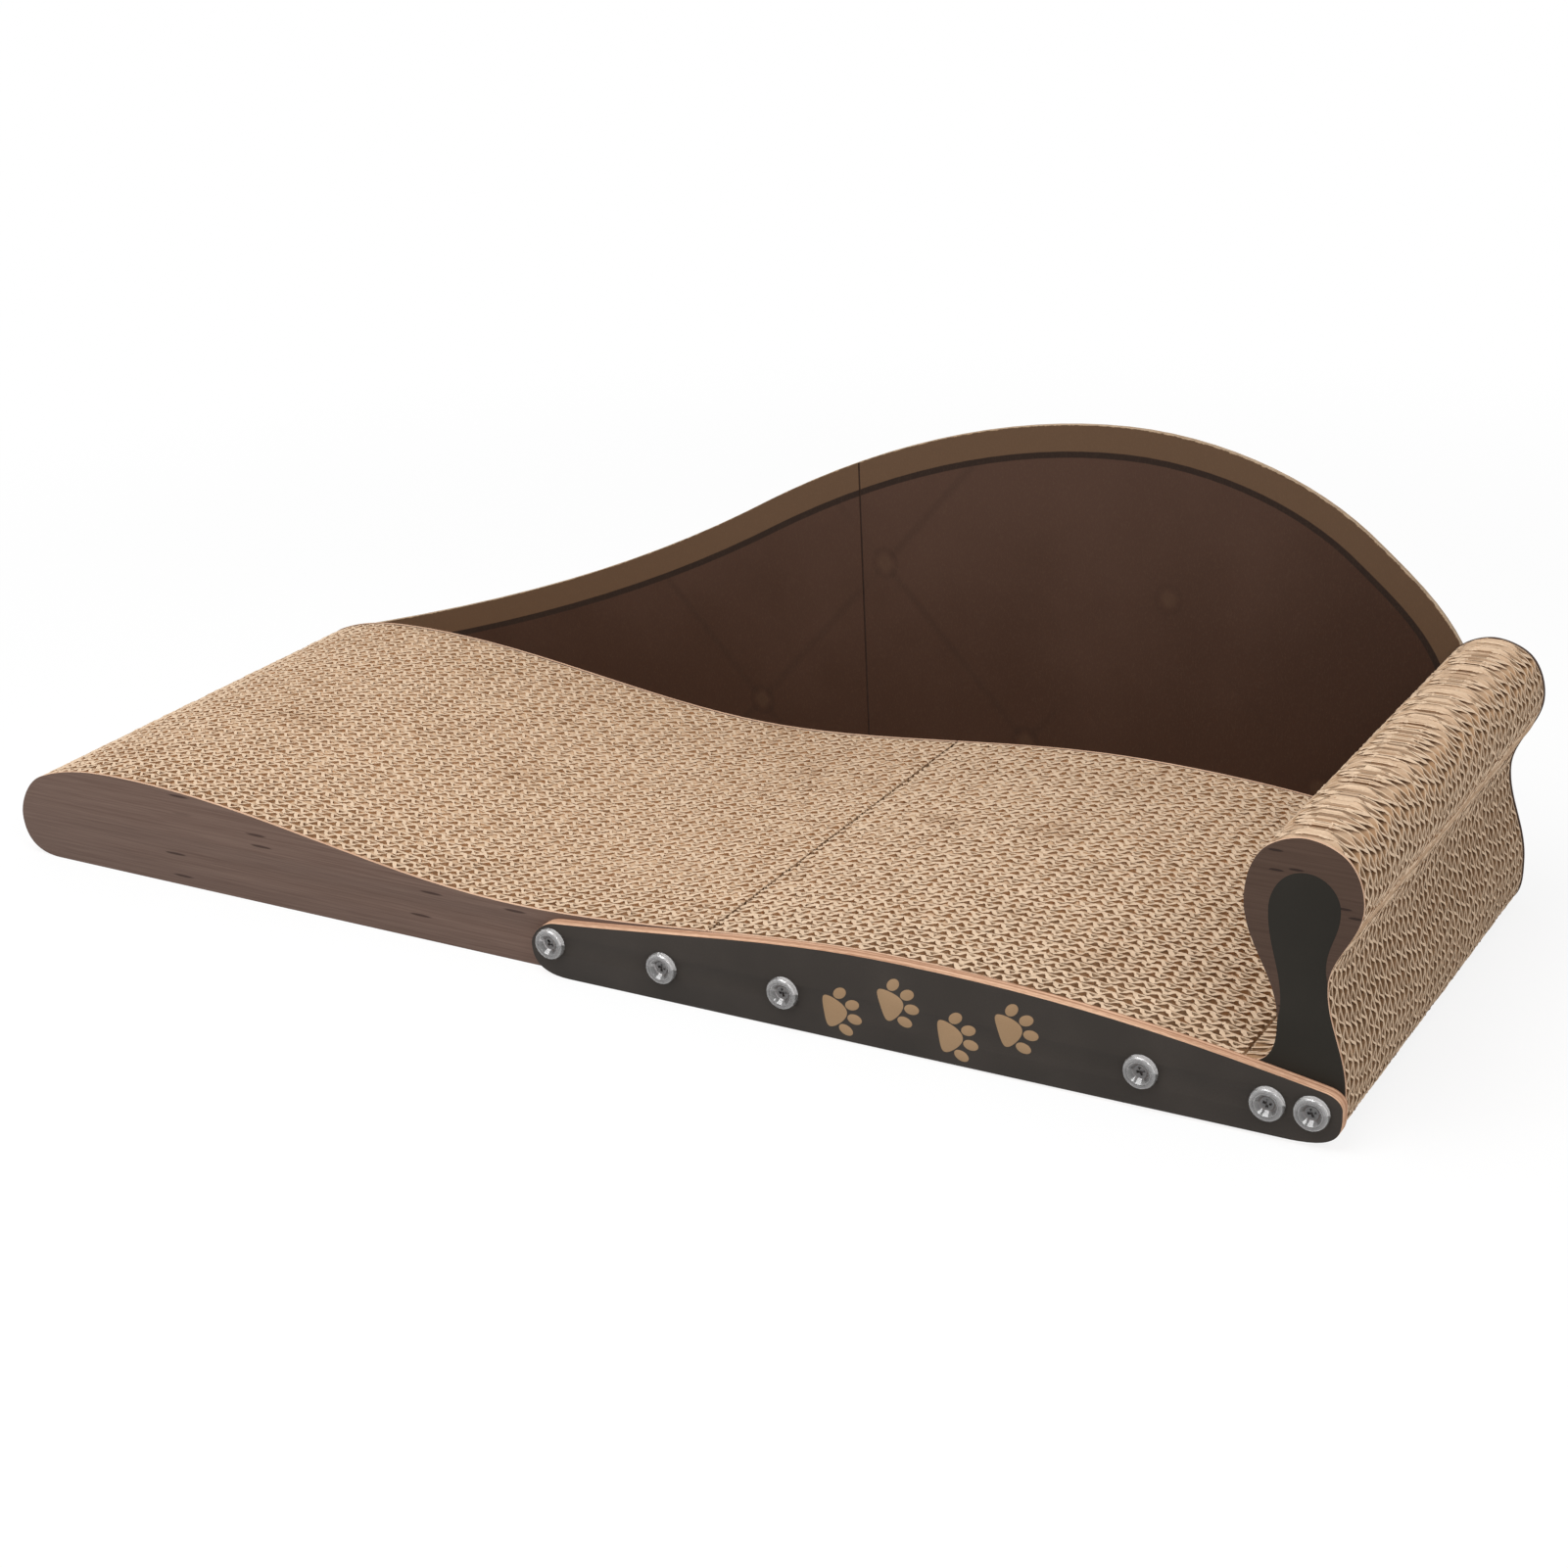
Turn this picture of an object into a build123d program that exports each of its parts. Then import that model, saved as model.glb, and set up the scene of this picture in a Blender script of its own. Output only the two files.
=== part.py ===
from build123d import *
import math
import os

os.makedirs("parts", exist_ok=True)

# Corrugated boards: each block is a stack of them, glued face to face from front to rear
stack_depth = 236.9
board_count = 46
boards_in_a_pack = 8

# Printed card sheet on the front and on the rear of each block
sheet_thickness = 1.5

# Ramp block, runs measured from the tip of its nose
ramp_length = 404.7
nose_tip_height = 19.0
nose_heel_run = 22.0
shoulder_run = 16.0
shoulder_height = 42.7
shoulder_slope = 0.42
ramp_crest_height = 51.1
ramp_crest_share = 0.172
dip_height = 28.1
dip_share = 0.751

# Seat block, runs measured from the seam between ramp and seat
seam_gap = 0.6
seat_length = 241.9
seat_crest_height = 41.6
seat_crest_share = 0.394
seat_end_height = 28.2

# Armrest, runs measured from the end of the seat
waist_left_run = 15.1
waist_left_height = 47.5
head_left_run = 0.6
head_left_height = 97.0
head_top_run = 24.5
head_top_height = 126.0
head_right_run = 47.7
head_right_height = 102.0
head_shoulder_share = 0.73
waist_right_run = 34.7
waist_right_height = 66.0
foot_right_run = 43.1
foot_right_height = 22.0
foot_heel_run = 30.0

# Front rail: a thick board with a printed paper on its face
rail_board_thickness = 5.6
rail_paper_thickness = 0.4
rail_lap = 89.3
rail_overhang = 1.2
rail_proud = 0.3
rail_left_tip_height = 14.0
rail_left_heel_run = 19.0
rail_left_shoulder_run = 13.0
rail_left_shoulder_height = 26.2
rail_left_slope = 0.1
rail_right_tip_height = 18.5
rail_right_heel_run = 23.0
rail_right_heel_height = 1.5
rail_right_shoulder_run = 7.0
rail_right_shoulder_height = 25.0
rail_right_slope = -0.18

# Back panel: a thin board between two papers, slit along one fold line on its front
panel_board_thickness = 2.4
panel_paper_thickness = 0.3
panel_height = 204.0
panel_left_inset = 14.0
panel_heel_run = 18.0
panel_tip_height = 18.0
panel_shoulder_run = 22.0
panel_shoulder_height = 47.5
panel_shoulder_slope = 0.27
panel_turn_share = 0.427
panel_turn_height_share = 0.714
panel_turn_slope = 0.55
panel_crest_share = 0.7115
panel_fall_share = 0.886
panel_fall_height_share = 0.8
panel_fall_slope = -0.86
panel_waist_run = 20.0
panel_waist_height = 78.0
panel_foot_run = 40.5
panel_foot_height = 22.0
panel_foot_heel_run = 27.0
fold_setback = 50.4
slit_width = 0.8
slit_depth = 1.0

# Clear plastic screws, all alike
screw_head_diameter = 14.4
screw_head_height = 3.0
screw_head_round = 1.2
recess_diameter = 9.0
recess_depth = 1.5
slot_length = 6.0
slot_width = 1.6
slot_depth = 0.9
slot_turn = 37.0
screwed_boards = 6
screw_end_spare = 0.4
core_diameter = 5.0
thread_diameter = 7.6
thread_root_width = 1.6
thread_crest_width = 0.5
thread_pitch = 4.0
thread_start = 9.0
tip_length = 6.0
tip_diameter = 2.0
bore_clearance = 0.8

# Screw places, as shares along the rail's lap on the ramp, along the seat and along the armrest's foot
front_ramp_shares = (0.12, 0.775)
front_seat_shares = (0.168, 0.842)
front_foot_shares = (0.333, 0.75)
rear_ramp_shares = (0.27, 0.62, 0.92)
rear_seat_shares = (0.22, 0.8)
rear_foot_shares = (0.5,)
ramp_screw_height = 16.4
seat_screw_height = 17.3
foot_screw_height = 15.5

# Places along the length, from the nose
seat_end = ramp_length + seat_length
overall_length = seat_end + head_right_run
rail_left = ramp_length - rail_lap
rail_right = seat_end + foot_right_run + rail_overhang
fold_place = ramp_length - fold_setback

# Places across the depth, centred between the two rows of screw heads
rail_thickness = rail_board_thickness + rail_paper_thickness
panel_thickness = panel_board_thickness + 2 * panel_paper_thickness
board_thickness = stack_depth / board_count
block_depth = stack_depth + 2 * sheet_thickness
overall_depth = block_depth + rail_thickness + panel_thickness + 2 * screw_head_height
rail_front = screw_head_height - overall_depth / 2
block_front = rail_front + rail_thickness
boards_front = block_front + sheet_thickness
boards_rear = boards_front + stack_depth
panel_front = boards_rear + sheet_thickness
panel_rear = panel_front + panel_thickness

# Screws end just short of whole boards: those behind the rail set their reach, which goes deeper behind the panel
screw_reach = rail_thickness + sheet_thickness + screwed_boards * board_thickness - screw_end_spare
bore_diameter = thread_diameter + bore_clearance
front_bored_boards = screwed_boards
rear_bored_boards = screwed_boards + math.ceil((rail_thickness - panel_thickness) / board_thickness)

LEFT = (-1, 0)
RIGHT = (1, 0)
UP = (0, 1)
DOWN = (0, -1)


def at(x, z):
    """Point of the side view: x from the nose, z from the floor."""
    return (x - overall_length / 2, z)


def smooth(*stations):
    """Smooth curve through stations, each a run from the nose, a height and a heading."""
    points = [at(x, z) for x, z, _ in stations]
    return Spline(*points, tangents=[heading for _, _, heading in stations])


def filled(curve, *corners):
    """Face inside a curve that straight lines close through the corners."""
    return make_face([curve, Polyline(curve @ 1, *[at(x, z) for x, z in corners], curve @ 0)])


def slab(face, front, thickness):
    """Sheet or board of a side-view face, upright, with its front face at the given depth."""
    upright = Plane(origin=(0, front + thickness, 0), x_dir=(1, 0, 0), z_dir=(0, -1, 0))
    return extrude(upright * face, thickness)


def bored(face, places):
    """Side-view face with a bore for the screw at each place."""
    for x, z in places:
        face = face - Pos(*at(x, z)) * Circle(bore_diameter / 2)
    return face


def between(face, left, right):
    """The stretch of a side-view face between two runs from the nose."""
    window = Polyline(at(left, 0), at(right, 0), at(right, panel_height), at(left, panel_height), close=True)
    return face & make_face(window)


def lounge_face():
    """Side view of ramp and seat in one wave, from the heel of the nose to the end of the seat."""
    seat_crest = ramp_length + seat_crest_share * seat_length
    seat_fall = (seat_end - seat_crest, -2 * (seat_crest_height - seat_end_height))
    wave = smooth(
        (nose_heel_run, 0, LEFT),
        (0, nose_tip_height, UP),
        (shoulder_run, shoulder_height, (1, shoulder_slope)),
        (ramp_crest_share * ramp_length, ramp_crest_height, RIGHT),
        (dip_share * ramp_length, dip_height, RIGHT),
        (seat_crest, seat_crest_height, RIGHT),
        (seat_end, seat_end_height, seat_fall),
    )
    return filled(wave, (seat_end, 0))


def head_shoulder(side_run, side_height):
    """Place where the rolled head rounds over between its top and one side, with its run from the seat."""
    run = head_top_run + head_shoulder_share * (side_run - head_top_run)
    return run, side_height + head_shoulder_share * (head_top_height - side_height)


def armrest_face():
    """Side view of the armrest: a foot, a waist and a rolled head."""
    left_run, left_height = head_shoulder(head_left_run, head_left_height)
    right_run, right_height = head_shoulder(head_right_run, head_right_height)
    roll = smooth(
        (seat_end, seat_end_height, RIGHT),
        (seat_end + waist_left_run, waist_left_height, UP),
        (seat_end + head_left_run, head_left_height, UP),
        (seat_end + left_run, left_height, (head_top_run - head_left_run, head_top_height - head_left_height)),
        (seat_end + head_top_run, head_top_height, RIGHT),
        (seat_end + right_run, right_height, (head_right_run - head_top_run, head_right_height - head_top_height)),
        (seat_end + head_right_run, head_right_height, DOWN),
        (seat_end + waist_right_run, waist_right_height, DOWN),
        (seat_end + foot_right_run, foot_right_height, DOWN),
        (seat_end + foot_heel_run, 0, LEFT),
    )
    return filled(roll, (seat_end, 0))


def rail_face():
    """Side view of the front rail, round at both ends and crowned over the seat."""
    edge = smooth(
        (rail_left + rail_left_heel_run, 0, LEFT),
        (rail_left, rail_left_tip_height, UP),
        (rail_left + rail_left_shoulder_run, rail_left_shoulder_height, (1, rail_left_slope)),
        (ramp_length + seat_crest_share * seat_length, seat_crest_height + rail_proud, RIGHT),
        (rail_right - rail_right_shoulder_run, rail_right_shoulder_height, (1, rail_right_slope)),
        (rail_right, rail_right_tip_height, DOWN),
        (rail_right - rail_right_heel_run, rail_right_heel_height, LEFT),
    )
    return filled(edge)


def panel_face():
    """Side view of the back panel: a swept back that ends behind the armrest, within its outline."""
    sweep_edge = smooth(
        (panel_left_inset + panel_heel_run, 0, LEFT),
        (panel_left_inset, panel_tip_height, UP),
        (panel_left_inset + panel_shoulder_run, panel_shoulder_height, (1, panel_shoulder_slope)),
        (panel_turn_share * overall_length, panel_turn_height_share * panel_height, (1, panel_turn_slope)),
        (panel_crest_share * overall_length, panel_height, RIGHT),
        (panel_fall_share * overall_length, panel_fall_height_share * panel_height, (1, panel_fall_slope)),
        (seat_end + panel_waist_run, panel_waist_height, DOWN),
        (seat_end + panel_foot_run, panel_foot_height, DOWN),
        (seat_end + panel_foot_heel_run, 0, LEFT),
    )
    return filled(sweep_edge)


def screw_row(ramp_start, ramp_run, ramp_shares, seat_shares, foot_shares):
    """Screw places of one side, grouped by the block that each row of screws goes into."""
    return {
        "ramp": [(ramp_start + share * ramp_run, ramp_screw_height) for share in ramp_shares],
        "seat": [(ramp_length + share * seat_length, seat_screw_height) for share in seat_shares],
        "armrest": [(seat_end + share * foot_right_run, foot_screw_height) for share in foot_shares],
    }


def screw():
    """One screw, head up, with the seat of its head at the origin."""
    head = Pos(0, 0, screw_head_height / 2) * Cylinder(screw_head_diameter / 2, screw_head_height)
    head = fillet(head.edges().group_by(Axis.Z)[-1], screw_head_round)
    recess_floor = screw_head_height - recess_depth
    head -= Pos(0, 0, screw_head_height - recess_depth / 2) * Cylinder(recess_diameter / 2, recess_depth)
    for turn in (0, 90):
        slot = Box(slot_length, slot_width, slot_depth)
        head -= Pos(0, 0, recess_floor - slot_depth / 2) * Rot(0, 0, turn) * slot

    core_length = screw_reach - tip_length
    core = Pos(0, 0, -core_length / 2) * Cylinder(core_diameter / 2, core_length)
    tip = Pos(0, 0, -core_length - tip_length / 2) * Cone(tip_diameter / 2, core_diameter / 2, tip_length)

    thread_run = core_length - thread_start - thread_root_width
    path = Pos(0, 0, -core_length + thread_root_width / 2) * Helix(thread_pitch, thread_run, core_diameter / 2)
    sink = thread_root_width / 4
    crest = (thread_diameter - core_diameter) / 2
    tooth = Polyline(
        (-sink, -thread_root_width / 2),
        (crest, -thread_crest_width / 2),
        (crest, thread_crest_width / 2),
        (-sink, thread_root_width / 2),
        close=True,
    )
    section = Plane(origin=path @ 0, x_dir=(1, 0, 0), z_dir=(0, -1, 0)) * make_face(tooth)
    thread = sweep(section, path=path, is_frenet=True)
    return head + core + tip + thread


def screw_set(places, seat_depth, tilt):
    """All screws of one side, each turned a little further than the one before."""
    one = screw()
    screws = []
    for index, (x, z) in enumerate(places):
        across, height = at(x, z)
        screws.append(Pos(across, seat_depth, height) * Rot(tilt, 0, 0) * Rot(0, 0, index * slot_turn) * one)
    return screws


def board_faces(face, front_screws, rear_screws):
    """Outline of each board of a block from front to rear, bored where the screws reach it."""
    front_face = bored(face, front_screws)
    rear_face = bored(face, rear_screws)
    plain_count = board_count - front_bored_boards - rear_bored_boards
    return [front_face] * front_bored_boards + [face] * plain_count + [rear_face] * rear_bored_boards


def export(node, solids):
    """Write the solids of one node."""
    export_step(Compound(children=[solid for shape in solids for solid in shape.solids()]), f"parts/{node}.step")


front_row = screw_row(rail_left, rail_lap, front_ramp_shares, front_seat_shares, front_foot_shares)
rear_row = screw_row(0, ramp_length, rear_ramp_shares, rear_seat_shares, rear_foot_shares)
front_places = [place for block in front_row.values() for place in block]
rear_places = [place for block in rear_row.values() for place in block]

lounge = lounge_face()
blocks = {
    "ramp": between(lounge, 0, ramp_length - seam_gap / 2),
    "seat": between(lounge, ramp_length + seam_gap / 2, seat_end - seam_gap / 2),
    "armrest": between(armrest_face(), seat_end + seam_gap / 2, overall_length),
}

# Blocks: packs of boards between their two printed sheets
for name, face in blocks.items():
    faces = board_faces(face, front_row[name], rear_row[name])
    boards = [slab(side, boards_front + i * board_thickness, board_thickness) for i, side in enumerate(faces)]
    for pack, first in enumerate(range(0, board_count, boards_in_a_pack), start=1):
        export(f"{name}_boards_{pack}", boards[first:first + boards_in_a_pack])
    export(f"{name}_front_sheet", [slab(faces[0], block_front, sheet_thickness)])
    export(f"{name}_rear_sheet", [slab(faces[-1], boards_rear, sheet_thickness)])

# Front rail
rail = bored(rail_face(), front_places)
export("rail_board", [slab(rail, rail_front + rail_paper_thickness, rail_board_thickness)])
export("rail_front_paper", [slab(rail, rail_front, rail_paper_thickness)])

# Back panel, with the slit cut through the front paper and into the board
panel = bored(panel_face(), rear_places)
slit = between(panel, fold_place - slit_width / 2, fold_place + slit_width / 2)
panel_board_front = panel_front + panel_paper_thickness
panel_board = slab(panel, panel_board_front, panel_board_thickness) - slab(slit, panel_board_front, slit_depth)
left_leaf = between(panel, 0, fold_place - slit_width / 2)
right_leaf = between(panel, fold_place + slit_width / 2, overall_length)
export("panel_board", [panel_board])
export("panel_front_paper_left", [slab(left_leaf, panel_front, panel_paper_thickness)])
export("panel_front_paper_right", [slab(right_leaf, panel_front, panel_paper_thickness)])
export("panel_rear_paper", [slab(panel, panel_rear - panel_paper_thickness, panel_paper_thickness)])

# Screws, heads against the rail in front and against the panel behind
export("front_screws", screw_set(front_places, rail_front, 90))
export("rear_screws", screw_set(rear_places, panel_rear, -90))
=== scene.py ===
"""Looks of a cardboard cat scratcher: corrugated blocks, rolled armrest, front rail and back panel."""

import logging
import math
from dataclasses import dataclass
from enum import Enum
from typing import Any, Union

import bmesh
import bpy
import numpy as np
from mathutils import Matrix, Vector


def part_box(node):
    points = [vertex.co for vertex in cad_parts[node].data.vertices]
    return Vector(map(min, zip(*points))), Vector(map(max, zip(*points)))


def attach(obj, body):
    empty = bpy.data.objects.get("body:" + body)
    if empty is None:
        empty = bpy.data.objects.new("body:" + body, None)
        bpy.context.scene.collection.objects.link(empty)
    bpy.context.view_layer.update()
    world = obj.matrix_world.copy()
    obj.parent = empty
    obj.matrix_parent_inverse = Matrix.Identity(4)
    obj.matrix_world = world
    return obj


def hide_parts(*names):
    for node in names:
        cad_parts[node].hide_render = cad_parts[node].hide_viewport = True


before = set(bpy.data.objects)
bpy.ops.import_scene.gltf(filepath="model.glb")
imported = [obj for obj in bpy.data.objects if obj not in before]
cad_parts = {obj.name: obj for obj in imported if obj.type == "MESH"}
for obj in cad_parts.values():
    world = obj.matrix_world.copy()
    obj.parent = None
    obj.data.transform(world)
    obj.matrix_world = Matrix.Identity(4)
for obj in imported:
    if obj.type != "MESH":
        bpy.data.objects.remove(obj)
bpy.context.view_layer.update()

MM = 0.001
BODY = "root"
MERGE_DISTANCE = 0.002 * MM
FACE_SLOPE = 0.6
PAPER_ANGLE = 40.0
PLATE_ANGLE = 30.0
FIBRE_ANGLE = 120.0
log = logging.getLogger("scratcher")

Pair = tuple[float, float]
Triple = tuple[float, float, float]
Paint = tuple[float, float, float, float]
Station = tuple[float, float, float, float]
Operand = Union["Value", float, int, tuple, str, bool, bpy.types.ID]


def paint(red: int, green: int, blue: int) -> Paint:
    """Linear colour of a print colour given as three bytes.

    Args:
        red: red byte.
        green: green byte.
        blue: blue byte.

    Returns:
        The linear colour, opaque.
    """
    shares = [byte / 255 for byte in (red, green, blue)]
    linear = [s / 12.92 if s <= 0.04045 else ((s + 0.055) / 1.055) ** 2.4 for s in shares]
    return (*linear, 1.0)


class Value:
    """A socket of a node tree that takes part in plain maths."""

    def __init__(self, sheet: "NodeSheet", socket: bpy.types.NodeSocket) -> None:
        """Keep the sheet and the socket."""
        self.sheet = sheet
        self.socket = socket

    def math(self, operation: str, *operands: Operand) -> "Value":
        """Add one Math node.

        Args:
            operation: what the node does.
            operands: its inputs in order.

        Returns:
            The node's result.
        """
        return self.sheet.node("ShaderNodeMath", {"operation": operation}, dict(enumerate(operands)))

    def __add__(self, other: Operand) -> "Value":
        """This value plus another."""
        return self.math("ADD", self, other)

    def __radd__(self, other: Operand) -> "Value":
        """Another value plus this one."""
        return self.math("ADD", other, self)

    def __sub__(self, other: Operand) -> "Value":
        """This value less another."""
        return self.math("SUBTRACT", self, other)

    def __rsub__(self, other: Operand) -> "Value":
        """Another value less this one."""
        return self.math("SUBTRACT", other, self)

    def __mul__(self, other: Operand) -> "Value":
        """This value times another."""
        return self.math("MULTIPLY", self, other)

    def __rmul__(self, other: Operand) -> "Value":
        """Another value times this one."""
        return self.math("MULTIPLY", other, self)

    def __truediv__(self, other: Operand) -> "Value":
        """This value over another."""
        return self.math("DIVIDE", self, other)

    def __rtruediv__(self, other: Operand) -> "Value":
        """Another value over this one."""
        return self.math("DIVIDE", other, self)

    def __abs__(self) -> "Value":
        """This value without its sign."""
        return self.math("ABSOLUTE", self)

    def sine(self) -> "Value":
        """Sine of this value."""
        return self.math("SINE", self)

    def root(self) -> "Value":
        """Square root of this value."""
        return self.math("SQRT", self)

    def larger(self, other: Operand) -> "Value":
        """The larger of this value and another."""
        return self.math("MAXIMUM", self, other)

    def smaller(self, other: Operand) -> "Value":
        """The smaller of this value and another."""
        return self.math("MINIMUM", self, other)

    def wrapped(self) -> "Value":
        """Distance to the nearest whole number, from 0 to a half."""
        return abs(self.math("WRAP", self, 0.5, -0.5))

    def rise(self, start: float, end: float) -> "Value":
        """Smooth step of this value.

        Args:
            start: where the step is 0.
            end: where the step is 1.

        Returns:
            The step, from 0 to 1.
        """
        low, high, first, last = (start, end, 0.0, 1.0) if start < end else (end, start, 1.0, 0.0)
        settings = {"interpolation_type": "SMOOTHSTEP"}
        return self.sheet.node("ShaderNodeMapRange", settings, {0: self, 1: low, 2: high, 3: first, 4: last})

    def other(self, output: Union[str, int]) -> "Value":
        """Another output of the node that gives this value."""
        return Value(self.sheet, self.socket.node.outputs[output])


class NodeSheet:
    """Writes the nodes of one material or of one geometry tree."""

    def __init__(self, tree: bpy.types.NodeTree) -> None:
        """Start with an empty tree."""
        self.tree = tree
        tree.nodes.clear()

    def node(
        self,
        kind: str,
        settings: dict[str, Any] | None = None,
        sockets: dict[Union[str, int], Operand] | None = None,
        output: Union[str, int] = 0,
    ) -> Value:
        """Add a node.

        Args:
            kind: the node's type.
            settings: the node's own settings, set before its sockets.
            sockets: values or links of its inputs, by name or place.
            output: the output to hand back, by name or place.

        Returns:
            The chosen output.
        """
        node = self.tree.nodes.new(kind)
        for key, setting in (settings or {}).items():
            setattr(node, key, setting)
        for key, operand in (sockets or {}).items():
            if isinstance(operand, Value):
                self.tree.links.new(operand.socket, node.inputs[key])
            else:
                node.inputs[key].default_value = operand
        return Value(self, node.outputs[output]) if node.outputs else Value(self, node.inputs[0])

    def vector(self, operation: str, first: Operand, second: Operand) -> Value:
        """Vector sum, product or other Vector Math of two operands."""
        return self.node("ShaderNodeVectorMath", {"operation": operation}, {0: first, 1: second})

    def combine(self, x: Operand, y: Operand, z: Operand) -> Value:
        """Vector of three values."""
        return self.node("ShaderNodeCombineXYZ", None, {0: x, 1: y, 2: z})

    def noise(self, place: Value, scale: float, detail: float = 2.0, rough: float = 0.5) -> Value:
        """Cloudy noise.

        Args:
            place: coordinates.
            scale: clouds for each unit of the coordinates.
            detail: octaves.
            rough: share of each finer octave.

        Returns:
            Noise from 0 to 1, mostly near a half.
        """
        sockets = {"Vector": place, "Scale": scale, "Detail": detail, "Roughness": rough}
        return self.node("ShaderNodeTexNoise", None, sockets)


class Shade(NodeSheet):
    """Node sheet of a material."""

    def __init__(self, name: str) -> None:
        """Make the material and clear its nodes."""
        self.material = bpy.data.materials.new(name)
        self.material.use_nodes = True
        super().__init__(self.material.node_tree)

    def millimetres(self) -> Value:
        """Place on the piece, in millimetres of the shared frame."""
        place = self.node("ShaderNodeTexCoord", output="Object")
        return self.vector("MULTIPLY", place, (1 / MM,) * 3)

    def streaks(self, place: Value, stretch: Triple, detail: float = 2.0, rough: float = 0.5) -> Value:
        """Cloudy noise on coordinates scaled by a factor along each axis."""
        return self.noise(self.vector("MULTIPLY", place, stretch), 1.0, detail, rough)

    def parts_of(self, place: Value) -> tuple[Value, Value, Value]:
        """The three numbers of a vector."""
        x = self.node("ShaderNodeSeparateXYZ", None, {0: place})
        return x, x.other(1), x.other(2)

    def mix(self, share: Operand, first: Operand, second: Operand) -> Value:
        """Blend of two colours.

        Args:
            share: how much of the second, from 0 to 1.
            first: colour at 0.
            second: colour at 1.

        Returns:
            The blended colour.
        """
        settings = {"data_type": "RGBA"}
        return self.node("ShaderNodeMix", settings, {0: share, 6: first, 7: second}, output=2)

    def attribute(self, name: str) -> Value:
        """A number kept on the piece's own points."""
        return self.node("ShaderNodeAttribute", {"attribute_name": name}, None, "Fac")

    def bump(self, height: Value, strength: float, distance: float) -> Value:
        """Fine relief.

        Args:
            height: relief from 0 to 1.
            strength: share of the relief that shows.
            distance: depth of the relief in metres.

        Returns:
            The turned normal.
        """
        sockets = {"Height": height, "Strength": strength, "Distance": distance}
        return self.node("ShaderNodeBump", None, sockets)

    def finish(self, sockets: dict[str, Operand]) -> bpy.types.Material:
        """Close the sheet with one surface.

        Args:
            sockets: inputs of the surface, by name.

        Returns:
            The material.
        """
        surface = self.node("ShaderNodeBsdfPrincipled", None, sockets)
        self.node("ShaderNodeOutputMaterial", None, {"Surface": surface})
        return self.material


@dataclass(frozen=True)
class KraftPaper:
    """Unbleached paper of the corrugated boards."""

    name: str
    light: Paint
    dark: Paint
    # Darker tone of the paper faces below the cut, which also serves as painted shade in the cells.
    deep: Paint
    grime: Paint
    roughness: float = 0.92
    gloss: float = 0.2
    fibre_scale: float = 0.9
    fibre_contrast: float = 1.6
    least_tone: float = 0.15
    board_contrast: float = 0.3
    flute_lift: float = 0.3
    cloud_scale: float = 0.022
    cloud_range: Pair = (0.56, 0.8)
    cloud_strength: float = 0.4
    relief: float = 0.2 * MM

    def material(self) -> bpy.types.Material:
        """Fibrous paper, a tone for each board, a darker tone and painted shade below its cut edge, grubby
        clouds.

        Returns:
            The material.
        """
        shade = Shade(self.name)
        place = shade.millimetres()
        fibre = shade.noise(place, self.fibre_scale, detail=4.0, rough=0.6)
        board = shade.attribute("board")
        lot = shade.node("ShaderNodeTexWhiteNoise", {"noise_dimensions": "1D"}, {"W": board})
        tone = (fibre - 0.5) * self.fibre_contrast + self.least_tone + lot * self.board_contrast
        tone = tone + shade.attribute("fluted") * self.flute_lift
        cloud = shade.noise(place, self.cloud_scale, detail=3.0, rough=0.6).rise(*self.cloud_range)
        colour = shade.mix(tone, self.dark, self.light)
        # Below the cut rim the colour turns to the faces' darker tone with painted shade in the cells.
        colour = shade.mix(shade.attribute("deep"), colour, self.deep)
        colour = shade.mix(cloud * self.cloud_strength, colour, self.grime)
        return shade.finish({
            "Base Color": colour, "Roughness": self.roughness, "Specular IOR Level": self.gloss,
            "Normal": shade.bump(fibre, strength=0.5, distance=self.relief),
        })


@dataclass(frozen=True)
class WoodPrint:
    """Card printed with a fine grey-brown wood grain."""

    name: str
    light: Paint
    dark: Paint
    fleck: Paint
    fleck_share: float = 0.24
    fleck_run: float = 50.0
    fleck_rise: float = 5.0
    fleck_range: Pair = (0.15, 0.09)
    fleck_choice: float = 0.02
    fleck_tear: float = 0.1
    fleck_strength: float = 0.8
    grain_stretch: Triple = (0.012, 0.0, 0.9)
    fine_stretch: Triple = (0.05, 0.0, 3.2)
    grain_part: float = 0.65
    streak_range: Pair = (0.3, 0.7)
    roughness: float = 0.55
    fine_roughness: float = 0.15
    gloss: float = 0.15
    relief: float = 0.1 * MM

    def material(self) -> bpy.types.Material:
        """Streaks along the length with a few short dark flecks.

        Returns:
            The material.
        """
        shade = Shade(self.name)
        place = shade.millimetres()
        grain = shade.streaks(place, self.grain_stretch, detail=4.0, rough=0.6)
        fine = shade.streaks(place, self.fine_stretch)
        streak = grain * self.grain_part + fine * (1 - self.grain_part)
        x, _, z = shade.parts_of(place)
        spot = shade.node("ShaderNodeTexVoronoi", {"voronoi_dimensions": "2D"}, {
            "Vector": shade.combine(x / self.fleck_run, z / self.fleck_rise, 0.0), "Scale": 1.0,
        })
        lot = shade.parts_of(spot.other("Color"))[0]
        chosen = lot.rise(self.fleck_share, self.fleck_share - self.fleck_choice)
        flecks = (spot + (fine - 0.5) * self.fleck_tear).rise(*self.fleck_range) * chosen
        colour = shade.mix(streak.rise(*self.streak_range), self.dark, self.light)
        colour = shade.mix(flecks * self.fleck_strength, colour, self.fleck)
        return shade.finish({
            "Base Color": colour, "Roughness": self.roughness + fine * self.fine_roughness,
            "Specular IOR Level": self.gloss,
            "Normal": shade.bump(streak, strength=0.15, distance=self.relief),
        })


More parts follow.
